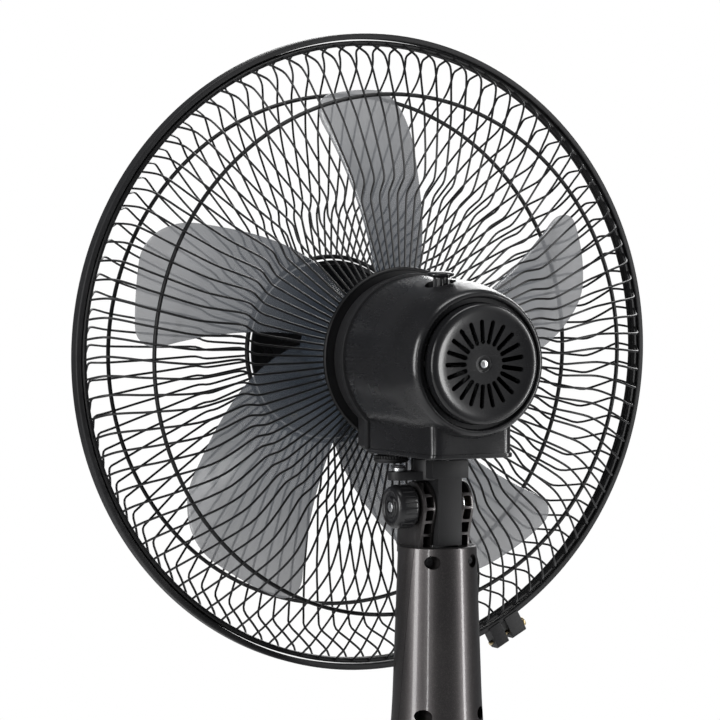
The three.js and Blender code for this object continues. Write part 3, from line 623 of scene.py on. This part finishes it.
def add_guards():
    rear = guard("rear_wire_guard", [
        (RING_RADIUS, 4.4, 0), (219, 13, -0.5), (214, 22, -0.8), (204, 30, -0.6), (196, 35.5, -0.3),
        (MID_RING, 42, 0), (174, 49.5, 0.4), (160, 55, 0.7), (145, 57, 0.3), (129, 57, -0.3),
        (122, 55.4, 0.5), (115, 54.2, 1.6), (104, 54.6, 1.9), (84, 55.6, 2.2), (62, 56.5, 2.4)],
        [(RING_RADIUS, 1.9, 2.6), (MID_RING, 1.5, 39.9), (62, 1.7, 56.8)])
    plate = bare("plate", lathe("y", rounded([(19.4, 56.5), (61.3, 56.5, 0.5), (61.3, 58.1, 0.5),
                                              (19.4, 58.1)]), 128))
    done(merged(rear, plate), "wire_black", "rear_guard")
    front = guard("front_wire_guard", [
        (RING_RADIUS, -4.4, 0), (220, -10, 0.3), (217, -15, 0.3), (211, -23, -0.9),
        (204, -34, -2.3), (196, -38.5, -2.3), (MID_RING, -43, -2.1), (162, -50, -2.0),
        (140, -53, -2.0), (124, -55.5, -2.1), (110, -57.5, -2.1), (100, -59.6, -0.9),
        (84, -60, -0.8), (67, -60, -0.8)],
        [(RING_RADIUS, 1.9, -2.6), (MID_RING, 1.5, -40.6), (68, 1.7, -59)])
    done(front, "wire_black", "front_guard")


def add_guard_band():
    inner = RING_RADIUS + 2.8
    section = [(inner, -3), (inner, -5, 0.8), (RIM_RADIUS, -5, 1.6), (RIM_RADIUS, 5, 1.6),
               (inner, 5, 0.8), (inner, 3)]
    band = bare("guard_rim_band", lathe("y", rounded(section, 4), 240))
    clip = Matrix.Rotation(radians(CLIP_TURN), 4, "Y")
    lug = rounded([(-2.5, -5), (-2.5, 6, 0.1), (2, 6, 2), (14.5, 6, 2.5), (14.5, -6, 2.5),
                   (2, -6, 2), (-2.5, -6, 0.1), (-2.5, -5)])
    for low, high in ((-12.4, -2), (2, 14.4)):
        ear = bare("lug", moved(slab("x", [(b, a + RIM_RADIUS) for a, b in lug], low, high), clip))
        combined(band, softened(ear, 0.5), "UNION")
    cut(band, moved(block((-2.5, -7, RIM_RADIUS - 30), (2.5, 7, RIM_RADIUS + 30)), clip),
        moved(lathe("x", [(0, -40), (1.8, -40), (1.8, 40), (0, 40)], 24,
                    (0, 0, RIM_RADIUS + 9.5)), clip))
    done(band, "matte_black", "guard_band")
    screw = lathe("x", rounded([(0, -15), (1.5, -15, 0.4), (1.5, 15.7), (3.4, 15.7, 0.3),
                                (3.4, 17.6, 0.7), (1.6, 18.1), (1.6, 16.9), (0, 16.9)]), 32,
                  (0, 0, RIM_RADIUS + 9.5))
    done(bare("guard_clip_screw", moved(screw, clip)), "zinc", "band_screw")


def add_badge_and_nuts():
    dish = [(0, -66), (30, -65.4, 4), (56, -63.2, 8), (64, -61, 3), (65.4, -58.6, 2),
            (65.4, -56.4), (62.6, -56.4), (62.6, -58.4, 1), (0, -62.4)]
    badge = bare("front_centre_badge", lathe("y", rounded(dish), 128))
    cut(badge, lathe("y", [(46.2, -65.2), (47.4, -65.2), (47.4, -63.6), (46.2, -63.6)], 128))
    done(badge, "gloss_black", "front_badge")
    spokes = [lathe("y", rounded([(0, -63.1), (3.0, -63.1), (3.0, -59.6, 0.6), (2.2, -58.8, 0.5),
                                  (0, -58.4)]), 20, (57.5 * sin(radians(turn)), 4.0,
                                                     57.5 * cos(radians(turn))))
              for turn in (27, 147, 267)]
    screws = bare("badge_screws", *spokes)
    screws.data.transform(HEAD)
    screws.data.materials.append(FINISHES["zinc"])
    for face in screws.data.polygons:
        face.use_smooth = True
    screws.data.set_sharp_from_angle(angle=radians(35))
    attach(screws, frame["nodes"]["front_badge"]["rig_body"])

    nut = bare("rear_guard_ring_nut", lathe("y", rounded([
        (19.4, 48), (30, 48, 1.5), (33, 50, 1.5), (34, 56, 0.5), (19.4, 56)]), 96))
    rib = softened(bare("rib", block((-2, 48.2, 31), (2, 53.8, 38.8))), 0.6)
    ribs = grown(rib, COPIES, copies=6, axis=(0, 1, 0), centre=(0, 0, 0))
    done(merged(nut, ribs), "matte_black", "guard_nut")
    spinner = [(0, -44), (7, -43.4, 2), (13, -40, 3), (17, -30, 4), (18, -24.4, 0.5), (0, -24.4)]
    cone = bare("blade_lock_cone", lathe("y", rounded(spinner), 64))
    cut(cone, lathe("y", [(0, -34), (4.2, -34), (4.2, -20), (0, -20)], 32))
    groove = lathe("y", [(0, -47), (1.1, -47), (1.1, -23.4), (0, -23.4)], 10, (18.3, 0, 0))
    flutes = round_copies("flutes", groove, 12)
    combined(cone, flutes, "DIFFERENCE")
    done(cone, "matte_black", "blade_nut")


# ------------------------------------------------------------------ blades
def blade_angles(radius):
    """Degrees of the leading and trailing edges at a radius, before the corners are rounded."""
    out = (radius - HUB_RADIUS) / (190 - HUB_RADIUS)
    return 2 + 15 * out, -60 + 78 * out - 32 * out * out


def blade_point(radius, share):
    """Point of the blade's middle surface; share runs from the leading to the trailing edge."""
    lead, trail = blade_angles(radius)
    inset = []
    for corner in (LEAD_CORNER, TRAIL_CORNER):
        past = max(radius - (BLADE_TIP - corner), 0)
        drawn = corner - sqrt(max(corner ** 2 - past ** 2, 0))
        inset.append(drawn / radius * 180 / pi)
    first, final = lead - inset[0], trail + inset[1]
    turn = first + (final - first) * share
    across = (turn - lead) / (trail - lead)
    out = (radius - HUB_RADIUS) / (190 - HUB_RADIUS)
    d = 20.6 - 43.6 * across + sin(pi * across) * 5 - 3 * out
    return radius * sin(radians(turn)), d, radius * cos(radians(turn))


def add_impeller():
    wide, long = 26, 44
    points, faces = [], []
    for i in range(long + 1):
        share = 1 - (1 - i / long) ** 1.7          # rows draw together towards the tip
        radius = HUB_RADIUS - 1.5 + (BLADE_TIP - HUB_RADIUS + 1.5) * share
        points += [blade_point(radius, k / wide) for k in range(wide + 1)]
    row = wide + 1
    faces = [[i * row + k, i * row + k + 1, (i + 1) * row + k + 1, (i + 1) * row + k]
             for i in range(long) for k in range(wide)]
    blade = bare("blade", (points, faces))
    wall = blade.modifiers.new("wall", "SOLIDIFY")
    wall.thickness, wall.offset = BLADE_THICK, 0
    softened(blade, 0.5, 2, 50)
    blades = grown(blade, COPIES, copies=BLADES, axis=(0, 1, 0), centre=(0, 0, 0))
    hub = [(4.3, -24), (30, -24, 2), (HUB_RADIUS, -24, 4.5), (HUB_RADIUS, 20, 0.8),
           (HUB_RADIUS - 2.4, 20, 0.8), (HUB_RADIUS - 2.4, -20.6, 3), (11, -20.6, 1), (10, 12, 0.6),
           (4.3, 12)]
    drum = bare("five_blade_impeller", lathe("y", rounded(hub), 128))
    web = softened(bare("web", block((10, -20.8, -0.8), (HUB_RADIUS - 2, 8, 0.8))), 0.3)
    webs = grown(web, COPIES, copies=10, axis=(0, 1, 0), centre=(0, 0, 0))
    done(merged(drum, blades, webs), "smoke", "impeller", sharp=40)


# ------------------------------------------------------------------ motor housing
def block_outline(inset, start):
    """Outline of the block under the barrel, seen from above."""
    wide, narrow, back = 39 - inset, 31 - inset, 161 - inset
    return rounded([(0, start), (wide, start), (narrow, back, 7), (0, back), (-narrow, back, 7),
                    (-wide, start), (0, start)], 6)[1:]


def archway(radius, half, bottom):
    """Round-topped outline with straight sides, seen from the front."""
    meet = acos(half / radius)
    arc = [-meet + (pi + 2 * meet) * i / 90 for i in range(91)]
    return [(half - 4, -bottom), (half, -bottom + 4), *((radius * cos(a), radius * sin(a)) for a in arc),
            (-half, -bottom + 4), (-half + 4, -bottom)]


def add_housing():
    outside = [(0, HOUSING_FRONT), (58, HOUSING_FRONT, 0.8), (57.5, 115, 60), (56, 143, 30),
               (52.4, 160, 6),
               (50.8, 167, 3), (48.6, 170.2, 2), (46, 170.2, 0.8), (45.4, 167, 0.4), (0, 167)]
    shell = bare("motor_housing", lathe("y", rounded(outside), 160))
    base = bare("base", slab("z", block_outline(0, HOUSING_FRONT + 0.1), HOUSING_BOTTOM, -20))
    softened(base, 2.2, 4, 50)
    combined(shell, base, "UNION")
    ledge = bare("ledge", slab("z", block_outline(-0.9, HOUSING_FRONT + 0.2), HOUSING_BOTTOM,
                              HOUSING_BOTTOM + 3.4))
    combined(shell, softened(ledge, 0.8, 2, 50), "UNION")
    x, d = CLUTCH
    hollow = bare("hollow", lathe("y", rounded([(0, 70), (55.4, 70), (55, 115, 40), (53, 143, 20),
                                                (49.5, 160, 5), (48, 164, 1), (0, 164)]), 128))
    cut(hollow, lathe("z", [(0, 40), (13.5, 40), (13.5, 80), (0, 80)], 64, (x, d, 0)))
    combined(shell, hollow, "DIFFERENCE")
    cut(shell, slab("z", block_outline(2.5, 70), HOUSING_BOTTOM + 2.5, -10))
    cut(shell, lathe("y", [(0, 160), (42.2, 160), (42.2, 180), (0, 180)], 128))
    cut(shell, lathe("z", rounded([(0, 42.5), (11, 42.5, 1), (11, 56, 1), (11.6, 80), (0, 80)]), 64,
                     (x, d, 0)))
    for radius, (px, py), (low, high) in ((5.4, CLUTCH, (30, 60)), (3.4, CRANK, (-80, -50)),
                                          (3.8, (0, -RIM_Y / MM), (-80, -50))):
        cut(shell, lathe("z", [(0, low), (radius, low), (radius, high), (0, high)], 40, (px, py, 0)))
    done(shell, "gloss_black", "housing_shell", sharp=28)

    cover = softened(bare("front_cover_shell", slab("y", archway(57.2, 38.2, 65), 60, 78.6)), 1.6)
    lip = softened(bare("lip", slab("y", archway(59.6, 40.2, 67), 74.6, 78.8)), 0.7, 2)
    combined(cover, lip, "UNION")
    boss = bare("boss", lathe("y", rounded([(0, 44), (19, 44, 0.8), (19, 61), (0, 61)]), 64))
    combined(cover, boss, "UNION")
    cut(cover, slab("y", archway(54.6, 35.6, 62.6), 62.8, 90))
    cut(cover, lathe("y", [(0, 40), (6, 40), (6, 61), (13.4, 61), (13.4, 80), (0, 80)], 48))
    vent = moved(slab("y", pill(16, 3), 58, 64), Matrix.Translation((38, 0, 0)))
    combined(cover, round_copies("vents", vent, 16), "DIFFERENCE")
    done(cover, "matte_black", "front_cover")


def add_rear_cap():
    face = [(2, 173.4), (2, 175.2), (4.8, 175.2, 0.4), (5.6, 176.2, 0.6), (22, 176.3, 10),
            (32, 176.9, 8), (37.6, 178, 3), (41.4, 177.2, 3), (41.7, 168, 0.4), (39.4, 168, 0.4),
            (39.2, 173.4)]
    cap = bare("slotted_rear_cap", lathe("y", rounded(face, 8), 160))
    slot = moved(slab("y", pill(17, 3.3), 170, 182),
                 Matrix.Translation((22.2, 0, 0)))
    combined(cap, round_copies("slots", slot, CAP_SLOTS), "DIFFERENCE")
    done(cap, "gloss_black", "rear_cap", sharp=30)
    dome = [(0, 152.3), (1.5, 152.3), (1.5, 175.3), (2.9, 175.3, 0.3), (2.7, 176.7, 0.8),
            (0, 177.1)]
    screw = bare("rear_cap_dome_screw", lathe("y", rounded(dome), 40))
    for turn in (0, 90):
        cut(screw, moved(block((-1.6, 176.2, -0.3), (1.6, 179, 0.3)),
                         Matrix.Rotation(radians(turn + 20), 4, "Y")))
    done(screw, "steel", "rear_cap_screw")


def add_pull_knob():
    x, d = CLUTCH
    stem = [(0, -24), (3, -24), (3, 38, 0.5), (5.2, 38, 0.5), (5.2, 58.6, 0.6), (8.4, 59, 0.5),
            (9.4, 60, 0.6), (9.2, 61.4, 1), (6, 62.5, 1.5), (0, 62.8)]
    knob = bare("swing_pull_knob", lathe("z", rounded(stem), 72, (x, d, 0)))
    flute = lathe("z", [(0, 44), (0.95, 44), (0.95, 57.4), (0, 57.4)], 10, (5.6, 0, 0))
    combined(knob, grown(bare("flutes", flute), COPIES, copies=10, axis=(0, 0, 1),
                         centre=(x, d, 0)), "DIFFERENCE")
    done(knob, "gloss_black", "oscillation_knob")
    shaft = [(0, -32), (4, -32, 0.8), (4, 118, 0.3), (3, 118), (3, 127), (4.3, 128), (4.3, 142),
             (3, 143), (3, 147, 0.4), (0, 147)]
    done(bare("turned_motor_shaft", lathe("y", rounded(shaft), 40)), "steel", "motor_shaft")


# ------------------------------------------------------------------ neck
def add_neck():
    x, d = CRANK
    disc = [(0, -72.5), (11.4, -72.5, 0.8), (12.4, -70.8, 0.8), (12.4, -69.6, 0.4), (11, -69.4),
            (11, -67.5), (3, -67.5), (3, -61), (8.2, -61, 0.4), (8.2, -53, 0.4), (3, -53), (3, -50),
            (0, -50)]
    wheel = bare("swing_crank_disc", lathe("z", rounded(disc), 96, (x, d, 0)))
    tooth = softened(bare("tooth", block((10.7, -0.55, -69.6), (12.1, 0.55, -67.6))), 0.2, 1)
    teeth = grown(tooth, COPIES, copies=36, axis=(0, 0, 1), centre=(x, d, 0))
    done(merged(wheel, teeth), "matte_black", "crank_disc")

    at = (0, 0, TILT_Z)
    floor = BOLT_FLOOR
    bolt = [(0, floor - 4.8), (4, floor - 4.8, 0.6), (4, 37, 0.9), (3.2, 37.6, 0.4), (0, 37.7)]
    rod = bare("tilt_clamp_bolt", lathe("x", rounded(bolt), 40, at))
    head = lathe("x", [(0, floor - 4.7), (6.5, floor - 4.7), (6.5, floor - 1.7), (0, floor - 1.7)],
                 6, at)
    done(merged(rod, softened(bare("hex", head), 0.4)), "steel", "tilt_bolt", place=STAND)
    washer = [(4.4, floor - 1.25), (7.5, floor - 1.25, 0.2), (7.5, floor - 0.35), (4.4, floor - 0.35)]
    done(bare("tilt_spacer", lathe("x", rounded(washer), 48, at)), "zinc", "tilt_washer",
         place=STAND)
    grip = [(4.3, 20), (12.8, 20, 0.8), (15.3, 22.6, 1.5), (15.5, 33.4, 2), (13.9, 36.6, 2),
            (11.6, 37.5, 0.8), (10.6, 36.2, 0.8), (7.6, 35.8, 0.6), (6.8, 37.6, 0.6), (4.3, 37.8)]
    knob = bare("tilt_hand_knob", lathe("x", rounded(grip), 96, at))
    flute = lathe("x", [(0, 23.4), (0.75, 23.4), (0.75, 32.8), (0, 32.8)], 10, (0, 15.6, 0))
    combined(knob, grown(bare("flutes", flute), COPIES, copies=24, axis=(1, 0, 0), centre=at),
             "DIFFERENCE")
    done(knob, "gloss_black", "tilt_knob", place=STAND)
    refined("tilt_bracket", "matte_black", 0.9, 3, 40)
    refined("crank_link", "steel", 0.25, 2)
    refined("link_pin", "iron", 0.3, 2)


# ------------------------------------------------------------------ column
def seam_at(z):
    return SEAM_BOTTOM + (SEAM_TOP - SEAM_BOTTOM) * (z - COLUMN_BOTTOM) / (COLUMN_TOP - COLUMN_BOTTOM)


def front_of_seam(offset):
    """Everything in front of the column's slanting seam."""
    low, high = COLUMN_BOTTOM - 20, COLUMN_TOP + 1
    return slab("x", [(-90, low), (seam_at(low) + offset, low), (seam_at(high) + offset, high),
                      (-90, high)], -80, 80)


def column_profile(inset):
    top, bottom = COLUMN_TOP - inset, COLUMN_BOTTOM + inset
    return rounded([(0, bottom), (31 - inset, bottom, 2.5), (37 - inset, bottom + 8, 7),
                    (37 - inset, 590, 60), (32 - inset, AXIS_MM - 253, 60),
                    (27.5 - inset, top, 1.2), (0, top)], 7)


def shroud(inset):
    side, face = 26 - inset, 42 - inset
    low, high = PANEL_BOTTOM - 6 + inset, PANEL_TOP + 6 - inset
    outline = rounded([(0, 0), (-side, 0), (-side, -face, 12), (side, -face, 12), (side, 0), (0, 0)],
                      6)[1:]
    return slab("z", outline, low, high)


def ear(side):
    """Tilt lug beside the post, with square pockets moulded into its rear edge."""
    rear, front, reach = 11, -24, 17.4
    arc = [-0.35 + (1.06 * pi + 0.35) * i / 40 for i in range(41)]
    outline = [(rear, COLUMN_TOP - 6), (rear + 1, TILT_Z - 20),
               *((reach * cos(a), TILT_Z + reach * sin(a)) for a in arc),
               (front + 1, TILT_Z - 16), (front, COLUMN_TOP - 6)]
    low, high = sorted((EAR_INNER * side, EAR_OUTER * side))
    plate = softened(bare("ear", slab("x", outline, low, high)), 0.5, 2, 40)
    middle = side * (EAR_INNER + EAR_OUTER) / 2
    for i in range(5):
        z = TILT_Z - 28 + i * 9.3
        tool = bare("pocket", block((middle - 2.9, rear - 9, z), (middle + 2.9, rear + 12, z + 7.4)))
        combined(plate, softened(tool, 0.8, 2), "DIFFERENCE")
    return plate


def add_column():
    body = bare("column", lathe("z", column_profile(0), 128))
    body = combined(body, softened(bare("shroud", shroud(0)), 2.5, 4, 50), "UNION")
    hollow = bare("hollow", lathe("z", column_profile(COLUMN_WALL), 96))
    joined(hollow, shroud(COLUMN_WALL))
    combined(body, hollow, "DIFFERENCE")
    gap = EAR_INNER + 0.25
    cut(body, block((-21, -50, PANEL_BOTTOM + 4), (21, -28, PANEL_TOP - 4)))
    cut(body, block((-gap, -60, COLUMN_TOP - 7), (gap, POST_SLOT_REAR, AXIS_MM)))
    cut(body, lathe("z", [(0, 480), (9.8, 480), (9.8, 540), (0, 540)], 48))
    recesses, floors = [], []
    for x, z in SCREW_ROWS:
        for side in (-1, 1):
            seam = seam_at(z)
            spot = (x * side, 0, z)
            floors.append(lathe("y", [(0, seam + 1), (SCREW_BOSS, seam + 1), (SCREW_BOSS, 24),
                                      (0, 24)], 40, spot))
            recesses.append(lathe("y", [(0, seam + 3.5), (SCREW_HOLE, seam + 3.5), (SCREW_HOLE, 50),
                                        (0, 50)], 40, spot))
    rear = twin(body, "column_rear_half")
    cut(rear, front_of_seam(0.15))
    outside = lathe("z", column_profile(0.8), 96)
    for floor, recess in zip(floors, recesses):
        boss = kept(bare("boss", floor), outside)
        combined(rear, boss, "UNION")
        cut(rear, recess)
    cut(rear, lathe("y", [(0, 0), (6.3, 0), (6.3, 60), (0, 60)], 40, (0, 0, COLUMN_BOTTOM + 22)))
    done(rear, "gunmetal", "column_rear_shell", place=STAND, sharp=28)

    front = kept(body, front_of_seam(-0.15))
    for side in (-1, 1):
        combined(front, ear(side), "UNION")
    cut(front, lathe("x", [(0, -40), (BOLT_POCKET, -40), (BOLT_POCKET, BOLT_FLOOR),
                           (BOLT_HOLE, BOLT_FLOOR), (BOLT_HOLE, 40), (0, 40)], 40, (0, 0, TILT_Z)))
    front.name = "column_front_half"
    done(front, "gunmetal", "column_front_shell", place=STAND, sharp=28)
    for row, (x, z) in zip(("upper", "lower"), SCREW_ROWS):
        for side, label in ((-1, "right"), (1, "left")):
            seam = seam_at(z)
            head = [(0, seam - 12), (1.3, seam - 12), (1.3, seam + 3.8), (3.6, seam + 3.8, 0.3),
                    (3.4, seam + 5.6, 0.8), (0, seam + 6)]
            screw = bare(f"shell_screw_{row}_{label}", lathe("y", rounded(head), 32, (x * side, 0, z)))
            centre = Matrix.Translation((x * side, 0, z))
            for turn in (0, 90):
                cross = moved(block((-2, seam + 4.9, -0.35), (2, seam + 9, 0.35)),
                              centre @ Matrix.Rotation(radians(turn), 4, "Y"))
                cut(screw, cross)
            # The dark iron finish on these screws is partly their own black oxide and partly painted
            # shade: it dims them as a deeper recess would.
            done(screw, "iron", f"column_screw_{row}_{label}", place=STAND)


def add_controls():
    refined("control_panel", "gloss_black", 0.4, windows=True)
    for i in range(4):
        refined(f"speed_key_{i}", "matte_black", 0.8, 4)
    low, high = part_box("timer_knob")
    x, z = (low.x + high.x) / 2 / MM, (low.z + high.z) / 2 / MM
    dial = [(0, -58), (12, -58, 1.5), (14.6, -56.4, 1.5), (16, -46.8, 0.4), (4, -46.8), (4, -27),
            (0, -27)]
    knob = bare("timer_dial_knob", lathe("y", rounded(dial), 96, (x, 0, z)))
    flute = lathe("y", [(0, -57), (0.7, -57), (0.7, -48.4), (0, -48.4)], 8, (16, 0, 0))
    combined(knob, grown(bare("flutes", flute), COPIES, copies=36, axis=(0, 1, 0),
                         centre=(x, 0, z)), "DIFFERENCE")
    cut(knob, block((x - 0.6, -60, z + 3), (x + 0.6, -57.4, z + 12)))
    done(knob, "matte_black", "timer_knob", place=STAND)
    z = COLUMN_BOTTOM + 22
    sleeve = [(3.4, 29), (8, 29, 0.4), (8, 33, 0.4), (6, 33), (6, 37.3), (8, 37.3, 0.6), (7, 44, 1),
              (3.4, 44)]
    done(bare("cord_strain_gland", lathe("y", rounded(sleeve), 48, (0, 0, z))), "rubber",
         "cord_gland", place=STAND)


# ------------------------------------------------------------------ base and pole
def add_base():
    top = [(14.4, 34), (36, 34, 6), (120, 27, 40), (186, 14, 30), (199.6, 5.4, 3), (200, 2, 0.5),
           (197, 2, 0.5), (185, 11), (120, 24), (36, 31), (14.4, 31)]
    done(bare("weighted_base_cover", lathe("z", rounded(top, 8), 192)), "gloss_black", "base_cover",
         place=STAND, sharp=40)
    foot = [(176, 0.3), (176, 0, 0.4), (190, 0, 0.4), (190, 2.6, 0.3), (176, 2.6)]
    done(bare("base_foot_ring", lathe("z", rounded(foot), 160)), "rubber", "base_pad_ring",
         place=STAND)
    collar = [(14.4, 34.4), (30, 34.4, 0.5), (29, 40, 2), (19, 54, 6), (15.8, 67, 0.8), (14.4, 67)]
    done(bare("pole_skirt", lathe("z", rounded(collar), 96)), "gloss_black", "pole_collar",
         place=STAND)
    pole = [(4.4, 18.4), (14, 18.4, 0.4), (14, 455, 0.5), (12.6, 455, 0.3), (12.6, 32), (4.4, 32)]
    done(bare("outer_pole_tube", lathe("z", rounded(pole), 96)), "painted_black", "outer_pole",
         place=STAND)
    tube = [(8.3, 170), (9.5, 170, 0.3), (9.5, 640, 0.3), (8.3, 640)]
    done(bare("inner_chrome_tube", lathe("z", rounded(tube), 96)), "chrome", "inner_tube",
         place=STAND)
    collet = [(9.8, 430), (12.2, 430), (12.2, 455.4), (14, 455.4, 0.3), (12.4, 473, 0.5), (9.8, 473)]
    done(bare("slide_collet", lathe("z", rounded(collet), 64)), "nylon", "height_collet",
         place=STAND)
    body = [(14.4, 436), (20, 436, 1), (24, 442, 2), (24, 470, 3), (19, 480, 3), (17, 484, 1.5),
            (10.6, 484), (10.6, 476), (14.4, 474)]
    nut = bare("height_clamp_nut", lathe("z", rounded(body), 128))
    flute = lathe("z", rounded([(0, 441), (2.1, 443, 1), (2.1, 469, 1), (0, 471)]), 16, (25, 0, 0))
    combined(nut, grown(bare("grips", flute), COPIES, copies=18, axis=(0, 0, 1), centre=(0, 0, 0)),
             "DIFFERENCE")
    done(nut, "matte_black", "height_lock_nut", place=STAND)


def paint_inner_nodes():
    """The CAD pieces that stay take the same finishes."""
    for part in frame["record"]["subparts"]:
        node = frame["nodes"][part["node"]]
        if not node.hide_render:
            for held in node.material_slots:
                held.material = FINISHES[part["material_slot"]]


# ------------------------------------------------------------------ floor, lights and camera
def add_floor():
    bpy.ops.mesh.primitive_circle_add(vertices=128, radius=2.2, fill_type="NGON",
                                      location=(0, 0, -0.0005))
    floor = bpy.context.object
    floor.name = "pale_floor"
    material, tree, shader = start_finish("pale_floor")
    tree.plug(tinted(tree, noise(tree, 3, 3.0), (0.80, 0.80, 0.80), (0.86, 0.86, 0.86)),
              shader.inputs["Base Color"])
    shader.inputs["Roughness"].default_value = 0.6
    floor.data.materials.append(material)


def add_softbox(name, at, target, size, watts):
    data = bpy.data.lights.new(name, "AREA")
    data.shape, data.size, data.size_y, data.energy = "RECTANGLE", *size, watts
    light = bpy.data.objects.new(name, data)
    bpy.context.scene.collection.objects.link(light)
    light.location = at
    light.rotation_euler = (Vector(target) - Vector(at)).to_track_quat("-Z", "Y").to_euler()


VIEW_AZIMUTH, VIEW_ELEVATION, VIEW_DISTANCE = 153, 3, 2.892
AIM_RIGHT, AIM_UP = -0.00506, -0.0054       # optical axis from the rim centre
TOWARDS = Vector((sin(radians(VIEW_AZIMUTH)) * cos(radians(VIEW_ELEVATION)),
                  -cos(radians(VIEW_AZIMUTH)) * cos(radians(VIEW_ELEVATION)),
                  sin(radians(VIEW_ELEVATION))))
RIGHT = Vector((0, 0, 1)).cross(TOWARDS).normalized()


def from_view(right, up, near):
    """Place seen from the camera: to its right, up, and nearer than the rim centre."""
    flat = Vector((TOWARDS.x, TOWARDS.y, 0)).normalized()
    return RIM_CENTRE + RIGHT * right + Vector((0, 0, up)) + flat * near


def add_lights():
    world = bpy.data.worlds.new("studio")
    world.use_nodes = True
    tree = Tree(world.node_tree)
    backdrop = world.node_tree.nodes["Background"]
    seen = tree.node("ShaderNodeLightPath").outputs["Is Camera Ray"]
    dim = tree.node("ShaderNodeBackground", None, {"Color": (0.55, 0.56, 0.58, 1), "Strength": 0.28})
    backdrop.inputs["Color"].default_value = (1, 1, 1, 1)
    backdrop.inputs["Strength"].default_value = 1.0
    mix = tree.node("ShaderNodeMixShader", None, {0: seen, 1: dim.outputs[0], 2: backdrop.outputs[0]})
    tree.plug(mix.outputs[0], world.node_tree.nodes["World Output"].inputs["Surface"])
    bpy.context.scene.world = world
    target = RIM_CENTRE
    add_softbox("left_window", from_view(-2.0, 0.3, 1.2), target, (0.5, 1.8), 44)
    add_softbox("left_strip", from_view(-1.0, 0.2, 2.3), target, (0.12, 1.6), 16)
    add_softbox("right_strip", from_view(2.1, 0.2, 0.7), target, (0.25, 1.8), 36)
    add_softbox("top_box", from_view(0.2, 1.9, 0.4), target, (1.4, 0.9), 30)
    add_softbox("front_fill", from_view(0.4, 0.9, -2.4), target, (1.6, 1.2), 34)


def add_camera():
    data = bpy.data.cameras.new("camera")
    data.lens, data.sensor_width = 200, 36
    data.clip_start, data.clip_end = 0.05, 50
    camera = bpy.data.objects.new("camera", data)
    bpy.context.scene.collection.objects.link(camera)
    up = TOWARDS.cross(RIGHT)
    target = RIM_CENTRE + RIGHT * AIM_RIGHT + up * AIM_UP
    camera.location = target + TOWARDS * VIEW_DISTANCE
    camera.rotation_euler = (-TOWARDS).to_track_quat("-Z", "Y").to_euler()
    bpy.context.scene.camera = camera
    bpy.context.scene.view_settings.view_transform = "Standard"


add_camera()
add_base()
add_column()
add_controls()
add_neck()
add_housing()
add_rear_cap()
add_pull_knob()
add_impeller()
add_guards()
add_guard_band()
add_badge_and_nuts()
paint_inner_nodes()
add_floor()
add_lights()
